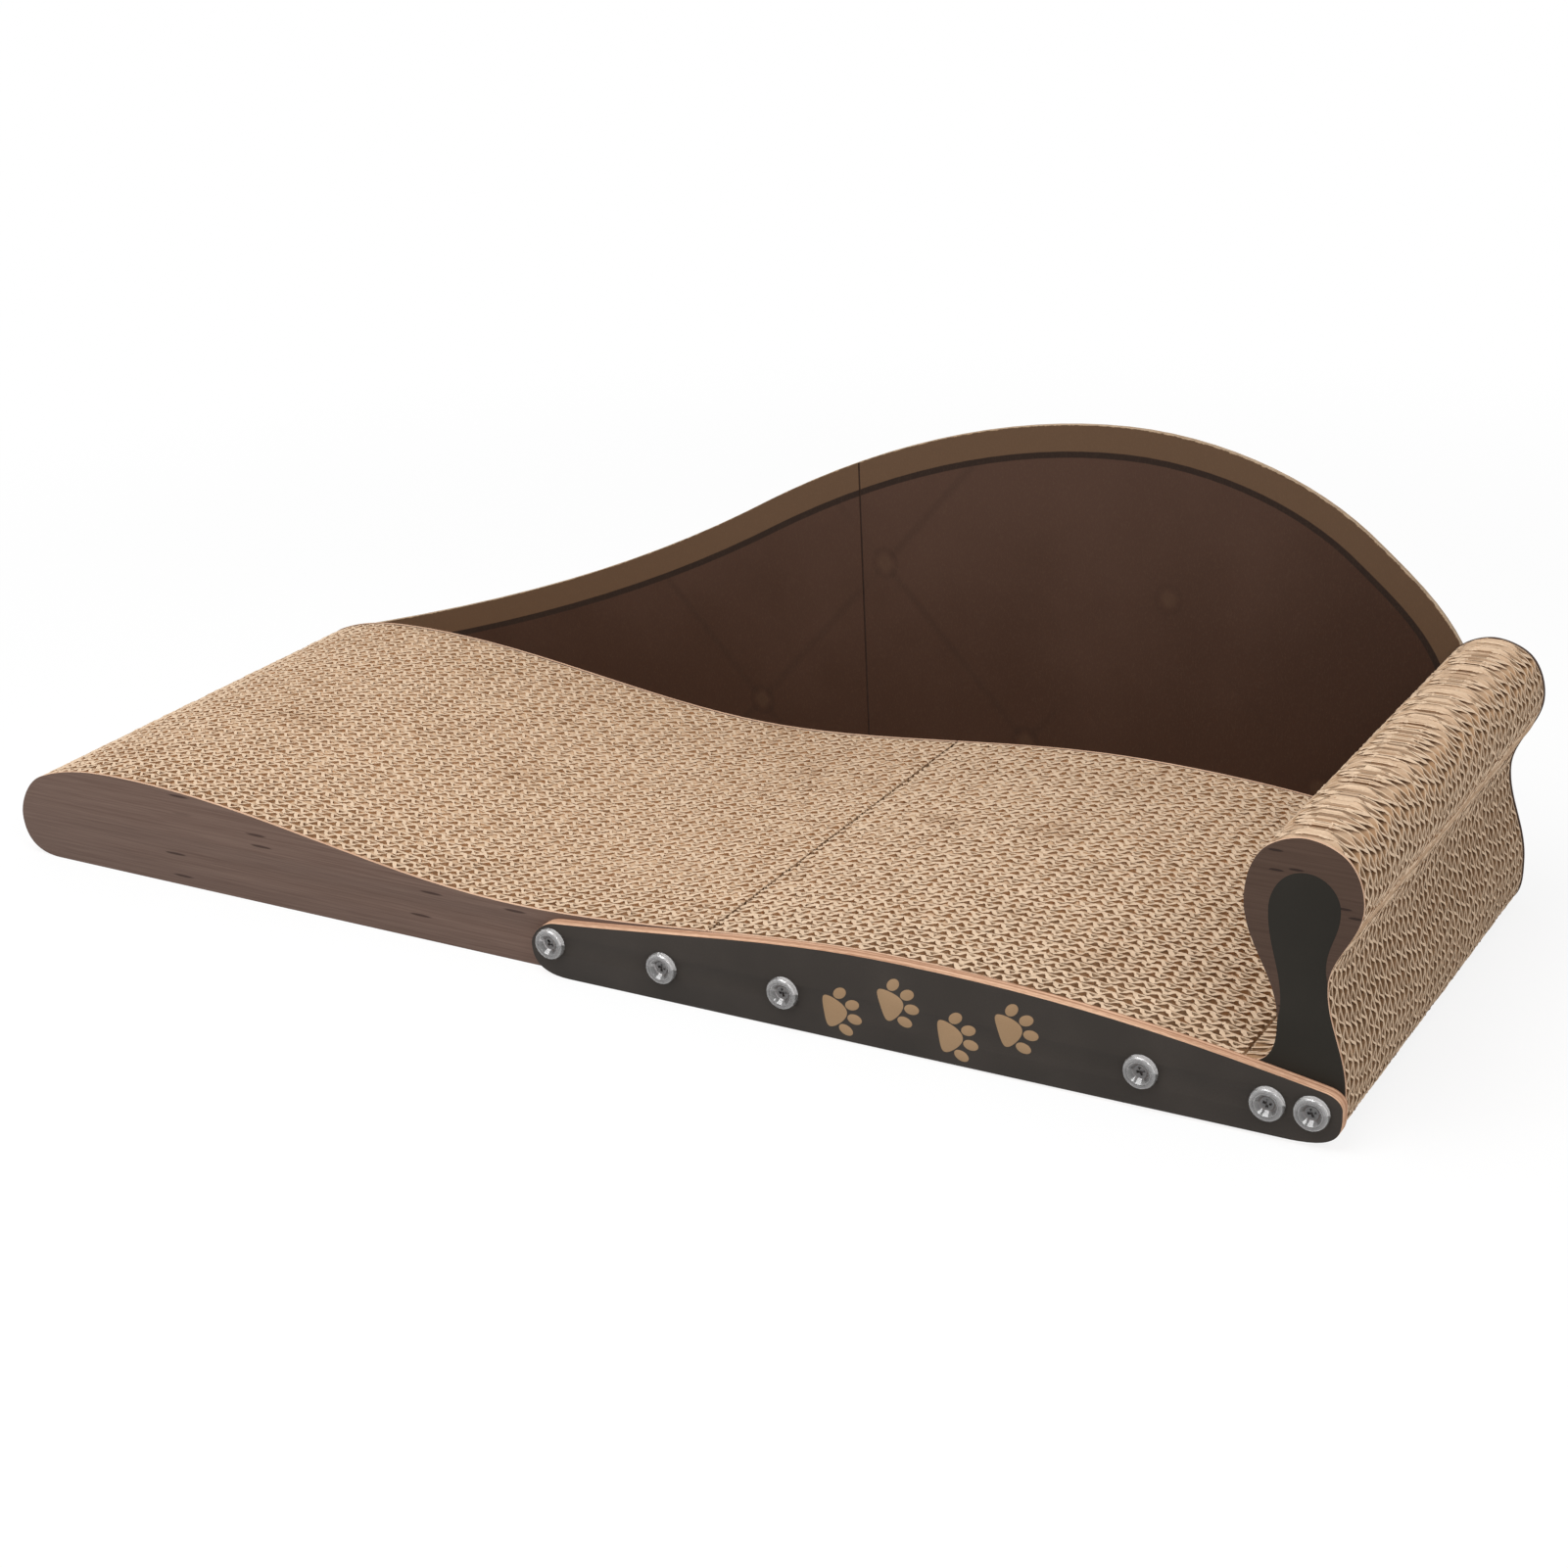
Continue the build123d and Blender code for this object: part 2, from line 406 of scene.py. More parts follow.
@dataclass(frozen=True)
class InkedPaper:
    """Paper under a solid dark ink."""

    name: str
    ink: Paint
    worn: Paint
    tooth_scale: float = 1.6
    tooth_start: float = 0.3
    tooth_strength: float = 0.5
    cloud_scale: float = 0.03
    cloud_strength: float = 0.8
    roughness: float = 0.55
    tooth_roughness: float = 0.12
    gloss: float = 0.15
    relief: float = 0.1 * MM

    def material(self) -> bpy.types.Material:
        """Ink with a fine paper tooth and faint rubbed clouds.

        Returns:
            The material.
        """
        shade = Shade(self.name)
        place = shade.millimetres()
        tooth = shade.noise(place, self.tooth_scale, detail=3.0, rough=0.6)
        cloud = shade.noise(place, self.cloud_scale, detail=3.0)
        wear = (tooth - self.tooth_start) * self.tooth_strength + (cloud - 0.5) * self.cloud_strength
        return shade.finish({
            "Base Color": shade.mix(wear, self.ink, self.worn),
            "Roughness": self.roughness + tooth * self.tooth_roughness,
            "Specular IOR Level": self.gloss, "Normal": shade.bump(tooth, strength=0.2, distance=self.relief),
        })


@dataclass(frozen=True)
class CutBoard:
    """Cut edge of a board pressed from several plies."""

    name: str
    light: Paint
    dark: Paint
    seams: tuple[float, ...] = ()
    seam_half_width: float = 0.4
    torn_stretch: Triple = (0.25, 2.2, 0.25)
    torn_strength: float = 0.6
    torn_reach: float = 0.4
    ply_stretch: Triple = (0.01, 0.9, 0.01)
    ply_strength: float = 0.6
    tone_sink: float = 0.1
    tone_range: Pair = (0.25, 0.75)
    roughness: float = 0.9
    gloss: float = 0.2
    relief: float = 0.3 * MM

    def material(self) -> bpy.types.Material:
        """Plies along the edge, broken by torn fibres, with dark seams at given depths.

        Returns:
            The material.
        """
        shade = Shade(self.name)
        place = shade.millimetres()
        torn = shade.streaks(place, self.torn_stretch, detail=4.0, rough=0.65)
        plies = shade.streaks(place, self.ply_stretch)
        tone = torn * self.torn_strength + plies * self.ply_strength - self.tone_sink
        tone = tone.rise(*self.tone_range)
        depth = shade.parts_of(place)[1] + torn * self.torn_reach
        for seam in self.seams:
            tone = tone * abs(depth - seam).rise(0.5 * self.seam_half_width, 1.5 * self.seam_half_width)
        return shade.finish({
            "Base Color": shade.mix(tone, self.dark, self.light), "Roughness": self.roughness,
            "Specular IOR Level": self.gloss, "Normal": shade.bump(torn, strength=0.5, distance=self.relief),
        })


@dataclass(frozen=True)
class UpholsteryPrint:
    """Print of the back panel: a brown tufted field inside an olive border and a dark line.

    Widths, places and ranges of length are millimetres of the shared frame.
    """

    name: str
    field_high: Paint
    field_low: Paint
    border: Paint
    line: Paint
    rim: Paint
    border_width: float = 12.6
    line_width: float = 3.0
    line_softness: float = 0.3
    field_height: float = 190.0
    field_range: Pair = (0.1, 1.0)
    cloud_scale: float = 0.016
    cloud_strength: float = 0.8
    # Painted shade on the field towards the armrest: its range of x and its strength.
    armrest_shade_range: Pair = (120.0, 300.0)
    armrest_shade_strength: float = 0.45
    tuft_run: float = 150.0
    tuft_rise: float = 83.0
    tuft_x: float = 19.9
    tuft_z: float = 123.5
    faint_scale: float = 0.011
    faint_range: Pair = (0.38, 0.58)
    crease_range: Pair = (4.5, 0.4)
    crease_strength: float = 0.2
    ring_radius: float = 9.0
    ring_range: Pair = (2.6, 0.6)
    ring_strengths: Pair = (0.12, 0.1)
    button_range: Pair = (7.0, 3.0)
    button_strength: float = 0.2
    scuff_scale: float = 0.35
    scuff_strength: float = 1.4
    scuff_fall: float = 0.7
    scuff_range: Pair = (0.45, 0.8)
    weave_stretch: Triple = (2.4, 1.0, 0.8)
    weave_strength: float = 0.12
    roughness: float = 0.5
    weave_roughness: float = 0.2
    gloss: float = 0.15
    relief: float = 0.1 * MM

    def material(self) -> bpy.types.Material:
        """Field with faint tufts, inside a border that follows the cut edge, under a fine weave.

        Returns:
            The material.
        """
        shade = Shade(self.name)
        place = shade.millimetres()
        weave = shade.streaks(place, self.weave_stretch)
        colour = self._edged(shade, place, self._tufted(shade, place))
        colour = shade.mix((weave - 0.5) * self.weave_strength, colour, self.rim)
        return shade.finish({
            "Base Color": colour, "Roughness": self.roughness + weave * self.weave_roughness,
            "Specular IOR Level": self.gloss,
            "Normal": shade.bump(weave, strength=0.25, distance=self.relief),
        })

    def _tufted(self, shade: Shade, place: Value) -> Value:
        """Colour of the field with painted shade near the armrest, faint buttons and the folds between them.

        Args:
            shade: sheet of the material.
            place: place on the panel.

        Returns:
            The colour.
        """
        x, _, z = shade.parts_of(place)
        cloud = shade.noise(place, self.cloud_scale, detail=3.0)
        height = z / self.field_height + (cloud - 0.5) * self.cloud_strength
        # Painted shade towards the armrest.
        height = height - x.rise(*self.armrest_shade_range) * self.armrest_shade_strength
        colour = shade.mix(height.rise(*self.field_range), self.field_low, self.field_high)
        across = (x - self.tuft_x) / self.tuft_run
        along = (z - self.tuft_z) / (2 * self.tuft_rise)
        rising = (across - along).wrapped() * self.tuft_run
        falling = (across + along).wrapped() * self.tuft_run
        button = (rising * rising + falling * falling).root()
        faint = shade.noise(place, self.faint_scale, detail=1.0).rise(*self.faint_range)
        crease = rising.smaller(falling).rise(*self.crease_range) * faint * self.crease_strength
        patchy, even = self.ring_strengths
        ring = abs(button - self.ring_radius).rise(*self.ring_range) * (faint * patchy + even)
        colour = shade.mix((crease + ring).smaller(1.0), colour, self.line)
        return shade.mix(button.rise(*self.button_range) * self.button_strength, colour, self.border)

    def _edged(self, shade: Shade, place: Value, colour: Value) -> Value:
        """Lay the line, the border and the scuffed rim over the field.

        Args:
            shade: sheet of the material.
            place: place on the panel.
            colour: colour of the field.

        Returns:
            The colour of the whole print.
        """
        edge = shade.attribute("edge")
        bands = ((self.border_width + self.line_width, self.line), (self.border_width, self.border))
        for reach, ink in bands:
            colour = shade.mix(edge.rise(reach + self.line_softness, reach - self.line_softness), colour, ink)
        scuff = shade.noise(place, self.scuff_scale, detail=4.0, rough=0.7)
        worn = scuff * self.scuff_strength - edge * self.scuff_fall
        return shade.mix(worn.rise(*self.scuff_range), colour, self.rim)


@dataclass(frozen=True)
class ClearPlastic:
    """Slightly milky clear plastic of the screws."""

    name: str
    # rim: milky plastic with painted highlights; core: painted shade where the dark bore shows through the
    # head.
    rim: Paint
    core: Paint
    clearness: float = 0.8
    roughness: float = 0.05
    cloud_scale: float = 0.5
    cloud_roughness: float = 0.08
    bending: float = 1.49
    coat_bending: float = 1.7
    coat_roughness: float = 0.04

    def material(self) -> bpy.types.Material:
        """Clear moulding, painted shade towards its middle and painted highlights, with a faint cloud in its
        gloss.

        Returns:
            The material.
        """
        shade = Shade(self.name)
        cloud = shade.noise(shade.millimetres(), self.cloud_scale)
        # Painted shade in the middle and painted highlights towards the rim, by the kept share.
        return shade.finish({
            "Base Color": shade.mix(shade.attribute("cloudy"), self.core, self.rim),
            "Roughness": self.roughness + cloud * self.cloud_roughness,
            "Transmission Weight": self.clearness, "IOR": self.bending, "Coat Weight": 1.0,
            "Coat Roughness": self.coat_roughness, "Coat IOR": self.coat_bending,
        })


class Finishes:
    """All finishes of the object, each made once.

    The rail's seams lie at depths in millimetres from the rear of its board.
    """

    RAIL_SEAM_DEPTHS: Pair = (2.15, 0.15)

    def __init__(self) -> None:
        """Make the materials."""
        light, dark = paint(226, 200, 172), paint(204, 177, 149)
        # deep: the paper faces' darker tone with painted shade in the cells.
        deep, grime = paint(194, 160, 125), paint(160, 122, 88)
        self.kraft = KraftPaper("kraft", light, dark, deep, grime).material()
        # Darker deep colour: painted shade inside flutes that run on through the block.
        self.open_kraft = KraftPaper("open_kraft", light, dark, paint(166, 131, 98), grime).material()
        self.back = KraftPaper(
            "kraft_back", paint(176, 140, 104), paint(156, 120, 86), deep, paint(120, 88, 60)).material()
        self.wood = WoodPrint(
            "wood_print", paint(112, 92, 82), paint(93, 73, 64), paint(52, 37, 32)).material()
        self.dark_wood = WoodPrint(
            "dark_wood_print", paint(82, 64, 54), paint(69, 52, 43), paint(36, 25, 21), fleck_share=0.5,
            fleck_run=24.0, fleck_rise=4.5).material()
        self.rail_ink = InkedPaper("charcoal_print", paint(52, 47, 43), paint(72, 65, 60)).material()
        self.foot_ink = InkedPaper("dark_print", paint(36, 33, 28), paint(49, 45, 39)).material()
        self.paw_ink = InkedPaper("tan_print", paint(150, 122, 92), paint(170, 142, 112)).material()
        self.card_edge = CutBoard("card_edge", paint(226, 192, 164), paint(190, 150, 122)).material()
        self.dark_edge = CutBoard("dark_card_edge", paint(86, 66, 54), paint(52, 38, 32)).material()
        rail_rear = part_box("rail_board")[1].y / MM
        seams = tuple(rail_rear - depth for depth in self.RAIL_SEAM_DEPTHS)
        self.board_edge = CutBoard(
            "board_edge", paint(236, 196, 164), paint(168, 124, 97), seams=seams).material()
        self.panel_edge = CutBoard("panel_edge", paint(206, 184, 158), paint(120, 96, 74)).material()
        # The core's dark faces show in the fold between the leaves of the front paper, as painted shade in
        # the fold.
        self.panel_core = CutBoard("panel_core", paint(58, 42, 34), paint(40, 28, 22)).material()
        self.panel = UpholsteryPrint(
            "upholstery_print", paint(74, 53, 43), paint(58, 38, 28), paint(93, 71, 53), paint(40, 28, 22),
            paint(176, 150, 122)).material()
        # The screws' light rim and dark middle are painted highlights and painted shade.
        self.clear = ClearPlastic("clear_plastic", paint(248, 247, 246), paint(104, 94, 92)).material()


def welded(node: str) -> bmesh.types.BMesh:
    """Working copy of a CAD node with its loose triangles joined.

    Args:
        node: name of the node.

    Returns:
        The copy, for the caller to free.
    """
    copy = bmesh.new()
    copy.from_mesh(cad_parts[node].data)
    bmesh.ops.remove_doubles(copy, verts=copy.verts, dist=MERGE_DISTANCE)
    return copy


class SideView:
    """Outline of a CAD sheet or board seen from the front, with its bores."""

    def __init__(self, node: str) -> None:
        """Read the loops of the node's front face.

        Args:
            node: name of the CAD node.
        """
        sheet = welded(node)
        self.front = min(v.co.y for v in sheet.verts)
        self.rear = max(v.co.y for v in sheet.verts)
        level = self.front + MERGE_DISTANCE
        faces = {face for face in sheet.faces if all(v.co.y < level for v in face.verts)}
        rim = [edge for edge in sheet.edges if sum(face in faces for face in edge.link_faces) == 1]
        self.loops = sorted(self._chained(rim), key=lambda loop: -np.ptp(loop, axis=0).prod())
        self.outer = self.loops[0]
        sheet.free()

    @staticmethod
    def _chained(edges: list[bmesh.types.BMEdge]) -> list[np.ndarray]:
        """Join edges end to end.

        Args:
            edges: edges of closed loops, in any order.

        Returns:
            The loops, each a row of (x, z) points.
        """
        beside: dict[bmesh.types.BMVert, list[bmesh.types.BMVert]] = {}
        for edge in edges:
            for one, two in (edge.verts, reversed(edge.verts)):
                beside.setdefault(one, []).append(two)
        loops = []
        while beside:
            vert = next(iter(beside))
            loop = []
            while vert in beside:
                loop.append((vert.co.x, vert.co.z))
                vert = next((n for n in beside.pop(vert) if n in beside), None)
            loops.append(np.array(loop))
        return loops

    def span(self, axis: int, place: float) -> Pair:
        """Where a line across the outline enters and leaves it.

        Args:
            axis: 0 for an upright line at a given x, 1 for a level line at a given z.
            place: that x or z.

        Returns:
            Lowest and highest crossing.
        """
        here, there = self.outer, np.roll(self.outer, -1, axis=0)
        crossed = (here[:, axis] > place) != (there[:, axis] > place)
        here, there = here[crossed], there[crossed]
        share = (place - here[:, axis]) / (there[:, axis] - here[:, axis])
        crossings = here[:, 1 - axis] + share * (there[:, 1 - axis] - here[:, 1 - axis])
        return float(crossings.min()), float(crossings.max())

    def inset_lines(self, step: float) -> tuple[np.ndarray, np.ndarray]:
        """Even stations round the outline and the way inward from each.

        Args:
            step: distance between stations.

        Returns:
            Rows of (x, z) and as many unit rows, counter-clockwise as seen from the front.
        """
        here, there = self.outer, np.roll(self.outer, -1, axis=0)
        if np.sum(here[:, 0] * there[:, 1] - there[:, 0] * here[:, 1]) < 0:
            here = here[::-1]
        closed = np.vstack([here, here[:1]])
        run = np.concatenate([[0.0], np.cumsum(np.linalg.norm(np.diff(closed, axis=0), axis=1))])
        stops = np.linspace(0, run[-1], round(run[-1] / step), endpoint=False)
        loop = np.column_stack([np.interp(stops, run, closed[:, axis]) for axis in (0, 1)])
        ahead = np.roll(loop, -1, axis=0) - np.roll(loop, 1, axis=0)
        inward = np.column_stack([-ahead[:, 1], ahead[:, 0]])
        return loop, inward / np.linalg.norm(inward, axis=1, keepdims=True)

    def depth(self, points: np.ndarray, above: float) -> np.ndarray:
        """Distance from points to the part of the outline above a height.

        Args:
            points: rows of (x, z).
            above: lowest height of the outline that counts.

        Returns:
            The distances.
        """
        here, there = self.outer, np.roll(self.outer, -1, axis=0)
        counts = np.maximum(here[:, 1], there[:, 1]) > above
        here, run = here[counts], (there - here)[counts]
        best = np.full(len(points), np.inf)
        for start, step in zip(here, run):
            share = np.clip((points - start) @ step / (step @ step), 0, 1)
            best = np.minimum(best, np.linalg.norm(points - start - share[:, None] * step, axis=1))
        return best


def evaluated(piece: bpy.types.Object) -> bpy.types.Mesh:
    """Plain mesh of an object with its modifiers.

    Args:
        piece: the object, linked to the scene.

    Returns:
        The mesh.
    """
    bpy.context.view_layer.update()
    graph = bpy.context.evaluated_depsgraph_get()
    return bpy.data.meshes.new_from_object(
        piece.evaluated_get(graph), preserve_all_data_layers=True, depsgraph=graph)


def linked(name: str, data: bpy.types.ID) -> bpy.types.Object:
    """New object in the scene.

    Args:
        name: name of the object.
        data: its mesh or curve.

    Returns:
        The object.
    """
    piece = bpy.data.objects.new(name, data)
    bpy.context.scene.collection.objects.link(piece)
    return piece


def settled(piece: bpy.types.Object) -> bpy.types.Object:
    """Apply an object's modifiers or curve and keep it as a plain mesh under its name.

    Args:
        piece: the object.

    Returns:
        The object that takes its place.
    """
    name, mesh = piece.name, evaluated(piece)
    bpy.data.objects.remove(piece)
    return linked(name, mesh)


def smoothed(mesh: bpy.types.Mesh, angle: float) -> None:
    """Shade a mesh smooth up to an angle in degrees."""
    mesh.shade_smooth()
    mesh.set_sharp_from_angle(angle=math.radians(angle))


def handed_over(piece: bpy.types.Object, slot: str, *nodes: str) -> None:
    """Put a finished piece on the object's body.

    Args:
        piece: the piece.
        slot: not used.
        nodes: CAD nodes that the piece stands for.
    """
    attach(piece, BODY)
    if nodes:
        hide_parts(*nodes)
    stands_for = ", ".join(nodes) or "itself"
    log.info("%s: %d faces, stands for %s", piece.name, len(piece.data.polygons), stands_for)


def keep_numbers(mesh: bpy.types.Mesh, label: str, numbers: Any) -> None:
    """Keep a number on each point of a mesh under a label."""
    kept = mesh.attributes.new(label, "FLOAT", "POINT")
    kept.data.foreach_set("value", np.array(numbers, np.float32))


def kept_numbers(mesh: bpy.types.Mesh, label: str) -> np.ndarray:
    """Numbers on the points of a mesh.

    Args:
        mesh: the mesh.
        label: label that they are kept under.

    Returns:
        One number for each point.
    """
    numbers = np.zeros(len(mesh.vertices), np.float32)
    mesh.attributes[label].data.foreach_get("value", numbers)
    return numbers


def grid_faces(columns: int, rows: int, first: int = 0) -> list[tuple[int, int, int, int]]:
    """Faces between columns of points that are numbered one column after another.

    Args:
        columns: number of columns.
        rows: points in a column.
        first: number of the first point.

    Returns:
        The corners of each face.
    """
    corners = [first + column * rows + row for column in range(columns - 1) for row in range(rows - 1)]
    return [(corner, corner + rows, corner + rows + 1, corner + 1) for corner in corners]


class GeometryTree(NodeSheet):
    """Node sheet of a geometry tree with named inputs."""

    KINDS = {
        int: "NodeSocketInt", float: "NodeSocketFloat", tuple: "NodeSocketVector",
        bpy.types.Material: "NodeSocketMaterial", bpy.types.Object: "NodeSocketObject",
    }

    def __init__(self, name: str, inputs: dict[str, type]) -> None:
        """Make the tree with its inputs and its one geometry output.

        Args:
            name: name of the tree.
            inputs: kind of each named input.
        """
        super().__init__(bpy.data.node_groups.new(name, "GeometryNodeTree"))
        face = self.tree.interface
        face.new_socket("Geometry", in_out="INPUT", socket_type="NodeSocketGeometry")
        for label, kind in inputs.items():
            face.new_socket(label, in_out="INPUT", socket_type=self.KINDS[kind])
        face.new_socket("Geometry", in_out="OUTPUT", socket_type="NodeSocketGeometry")
        self.given = self.node("NodeGroupInput")

    def named(self, attribute: str) -> Value:
        """A number kept on the points under a name."""
        return self.node("GeometryNodeInputNamedAttribute", {"data_type": "FLOAT"}, {"Name": attribute})

    def scatter(self, low: Operand, high: Operand, identity: Operand, seed: Operand) -> Value:
        """Random number.

        Args:
            low: smallest.
            high: largest.
            identity: what has a number of its own.
            seed: seed of the draw.

        Returns:
            The number.
        """
        sockets = {2: low, 3: high, "ID": identity, "Seed": seed}
        return self.node("FunctionNodeRandomValue", {"data_type": "FLOAT"}, sockets, output=1)

    def close(self, geometry: Value, material: Operand) -> None:
        """End the tree in real geometry with a material.

        Args:
            geometry: what the tree has made.
            material: its material.
        """
        real = self.node("GeometryNodeRealizeInstances", None, {"Geometry": geometry})
        finished = self.node("GeometryNodeSetMaterial", None, {"Geometry": real, "Material": material})
        self.node("NodeGroupOutput", None, {0: finished})

    def apply(self, piece: bpy.types.Object, values: dict[str, Any]) -> bpy.types.Object:
        """Run the tree on an object and keep the result as a plain mesh.

        Args:
            piece: object that carries the tree's input mesh.
            values: value of each named input.

        Returns:
            The object with the finished mesh.
        """
        modifier = piece.modifiers.new(self.tree.name, "NODES")
        modifier.node_group = self.tree
        for item in self.tree.interface.items_tree:
            if item.in_out == "INPUT" and item.name in values:
                modifier[item.identifier] = values[item.name]
        return settled(piece)


class FluteRun(Enum):
    """Which way the flutes of a block's boards run."""

    UPRIGHT = 0
    LENGTHWISE = 1


@dataclass(frozen=True)
class Corrugation:
    """How boards are stacked, fluted, warped and frayed, by one geometry tree for all blocks."""

    drift_along: float = 10.0
    drift_across: float = 0.2
    least_squeeze: float = 0.85
    squeeze_spread: float = 0.2
    squeeze_scale: float = 150.0
    warp_scale: float = 11.0
    fuzz_scale: float = 500.0
    fray_scale: float = 420.0
    fray_part: float = 0.7

    def tree(self) -> GeometryTree:
        """Write the tree.

        Returns:
            The tree, which takes one board and the sizes of a block.
        """
        tree = GeometryTree("corrugated_stack", {
            "Boards": int, "First Board": int, "Board Thickness": float, "Stack Front": float,
            "Flute Pitch": float, "Flute Height": float, "Phase Drift": float, "Phase Scatter": float,
            "Rim Direction": tuple, "Rim Wear": float, "Liner Sink": float, "Fuzz": float, "Warp": float,
            "Seed": int, "Paper": bpy.types.Material,
        })
        shift = tree.vector("ADD", self._frayed(tree), tree.combine(0.0, self._waved(tree), 0.0))
        sockets = {"Geometry": self._stacked(tree), "Offset": shift}
        tree.close(tree.node("GeometryNodeSetPosition", None, sockets), tree.given.other("Paper"))
        return tree

    @staticmethod
    def _stacked(tree: GeometryTree) -> Value:
        """Boards face to face, each with its number.

        Args:
            tree: the tree.

        Returns:
            The stack.
        """
        given = tree.given.other
        thickness = given("Board Thickness")
        line = tree.node("GeometryNodeMeshLine", {"mode": "OFFSET"}, {
            "Count": given("Boards"),
            "Start Location": tree.combine(0.0, given("Stack Front") + thickness * 0.5, 0.0),
            "Offset": tree.combine(0.0, thickness, 0.0),
        })
        sockets = {"Points": line, "Instance": given("Geometry")}
        stack = tree.node("GeometryNodeInstanceOnPoints", None, sockets)
        number = tree.node("GeometryNodeInputIndex") + given("First Board")
        settings = {"data_type": "FLOAT", "domain": "INSTANCE"}
        sockets = {"Geometry": stack, "Name": "board", "Value": number}
        stack = tree.node("GeometryNodeStoreNamedAttribute", settings, sockets)
        return tree.node("GeometryNodeRealizeInstances", None, {"Geometry": stack})

    def _waved(self, tree: GeometryTree) -> Value:
        """Shift across the boards: the flutes, a slow warp and a fuzzy cut.

        Args:
            tree: the tree.

        Returns:
            The shift of each point.
        """
        given = tree.given.other
        board, along, seed = tree.named("board"), tree.named("along"), given("Seed")
        place = tree.node("GeometryNodeInputPosition")
        drift = tree.noise(tree.combine(along * self.drift_along, board * self.drift_across, seed), 1.0)
        phase = along / given("Flute Pitch") * math.tau
        phase = phase + tree.scatter(-1.0, 1.0, board, seed) * given("Phase Scatter")
        phase = phase + (drift - 0.5) * given("Phase Drift")
        squeeze = self.least_squeeze + tree.noise(place, self.squeeze_scale, 1.0) * self.squeeze_spread
        wave = phase.sine() * tree.named("fluted") * given("Flute Height") * 0.5 * squeeze
        warp = (tree.noise(place, self.warp_scale, 1.0) - 0.5) * given("Warp")
        fuzz = (tree.noise(place, self.fuzz_scale, 1.0) - 0.5) * given("Fuzz") * (1 - tree.named("deep"))
        return wave + warp + fuzz

    def _frayed(self, tree: GeometryTree) -> Value:
        """Shift of the cut rim into the block, by a share for each board and a fine fray.

        Args:
            tree: the tree.

        Returns:
            The shift of each point.
        """
        given = tree.given.other
        place = tree.node("GeometryNodeInputPosition")
        fray = tree.noise(place, self.fray_scale, rough=0.7)
        lot = tree.scatter(0.0, 1.0, tree.named("board"), given("Seed") + 1)
        wear = given("Rim Wear") * (fray * self.fray_part + lot * (1 - self.fray_part))
        sink = wear + (1 - tree.named("fluted")) * given("Liner Sink")
        sockets = {0: given("Rim Direction"), "Scale": tree.named("rim") * (0 - sink)}
        return tree.node("ShaderNodeVectorMath", {"operation": "SCALE"}, sockets)


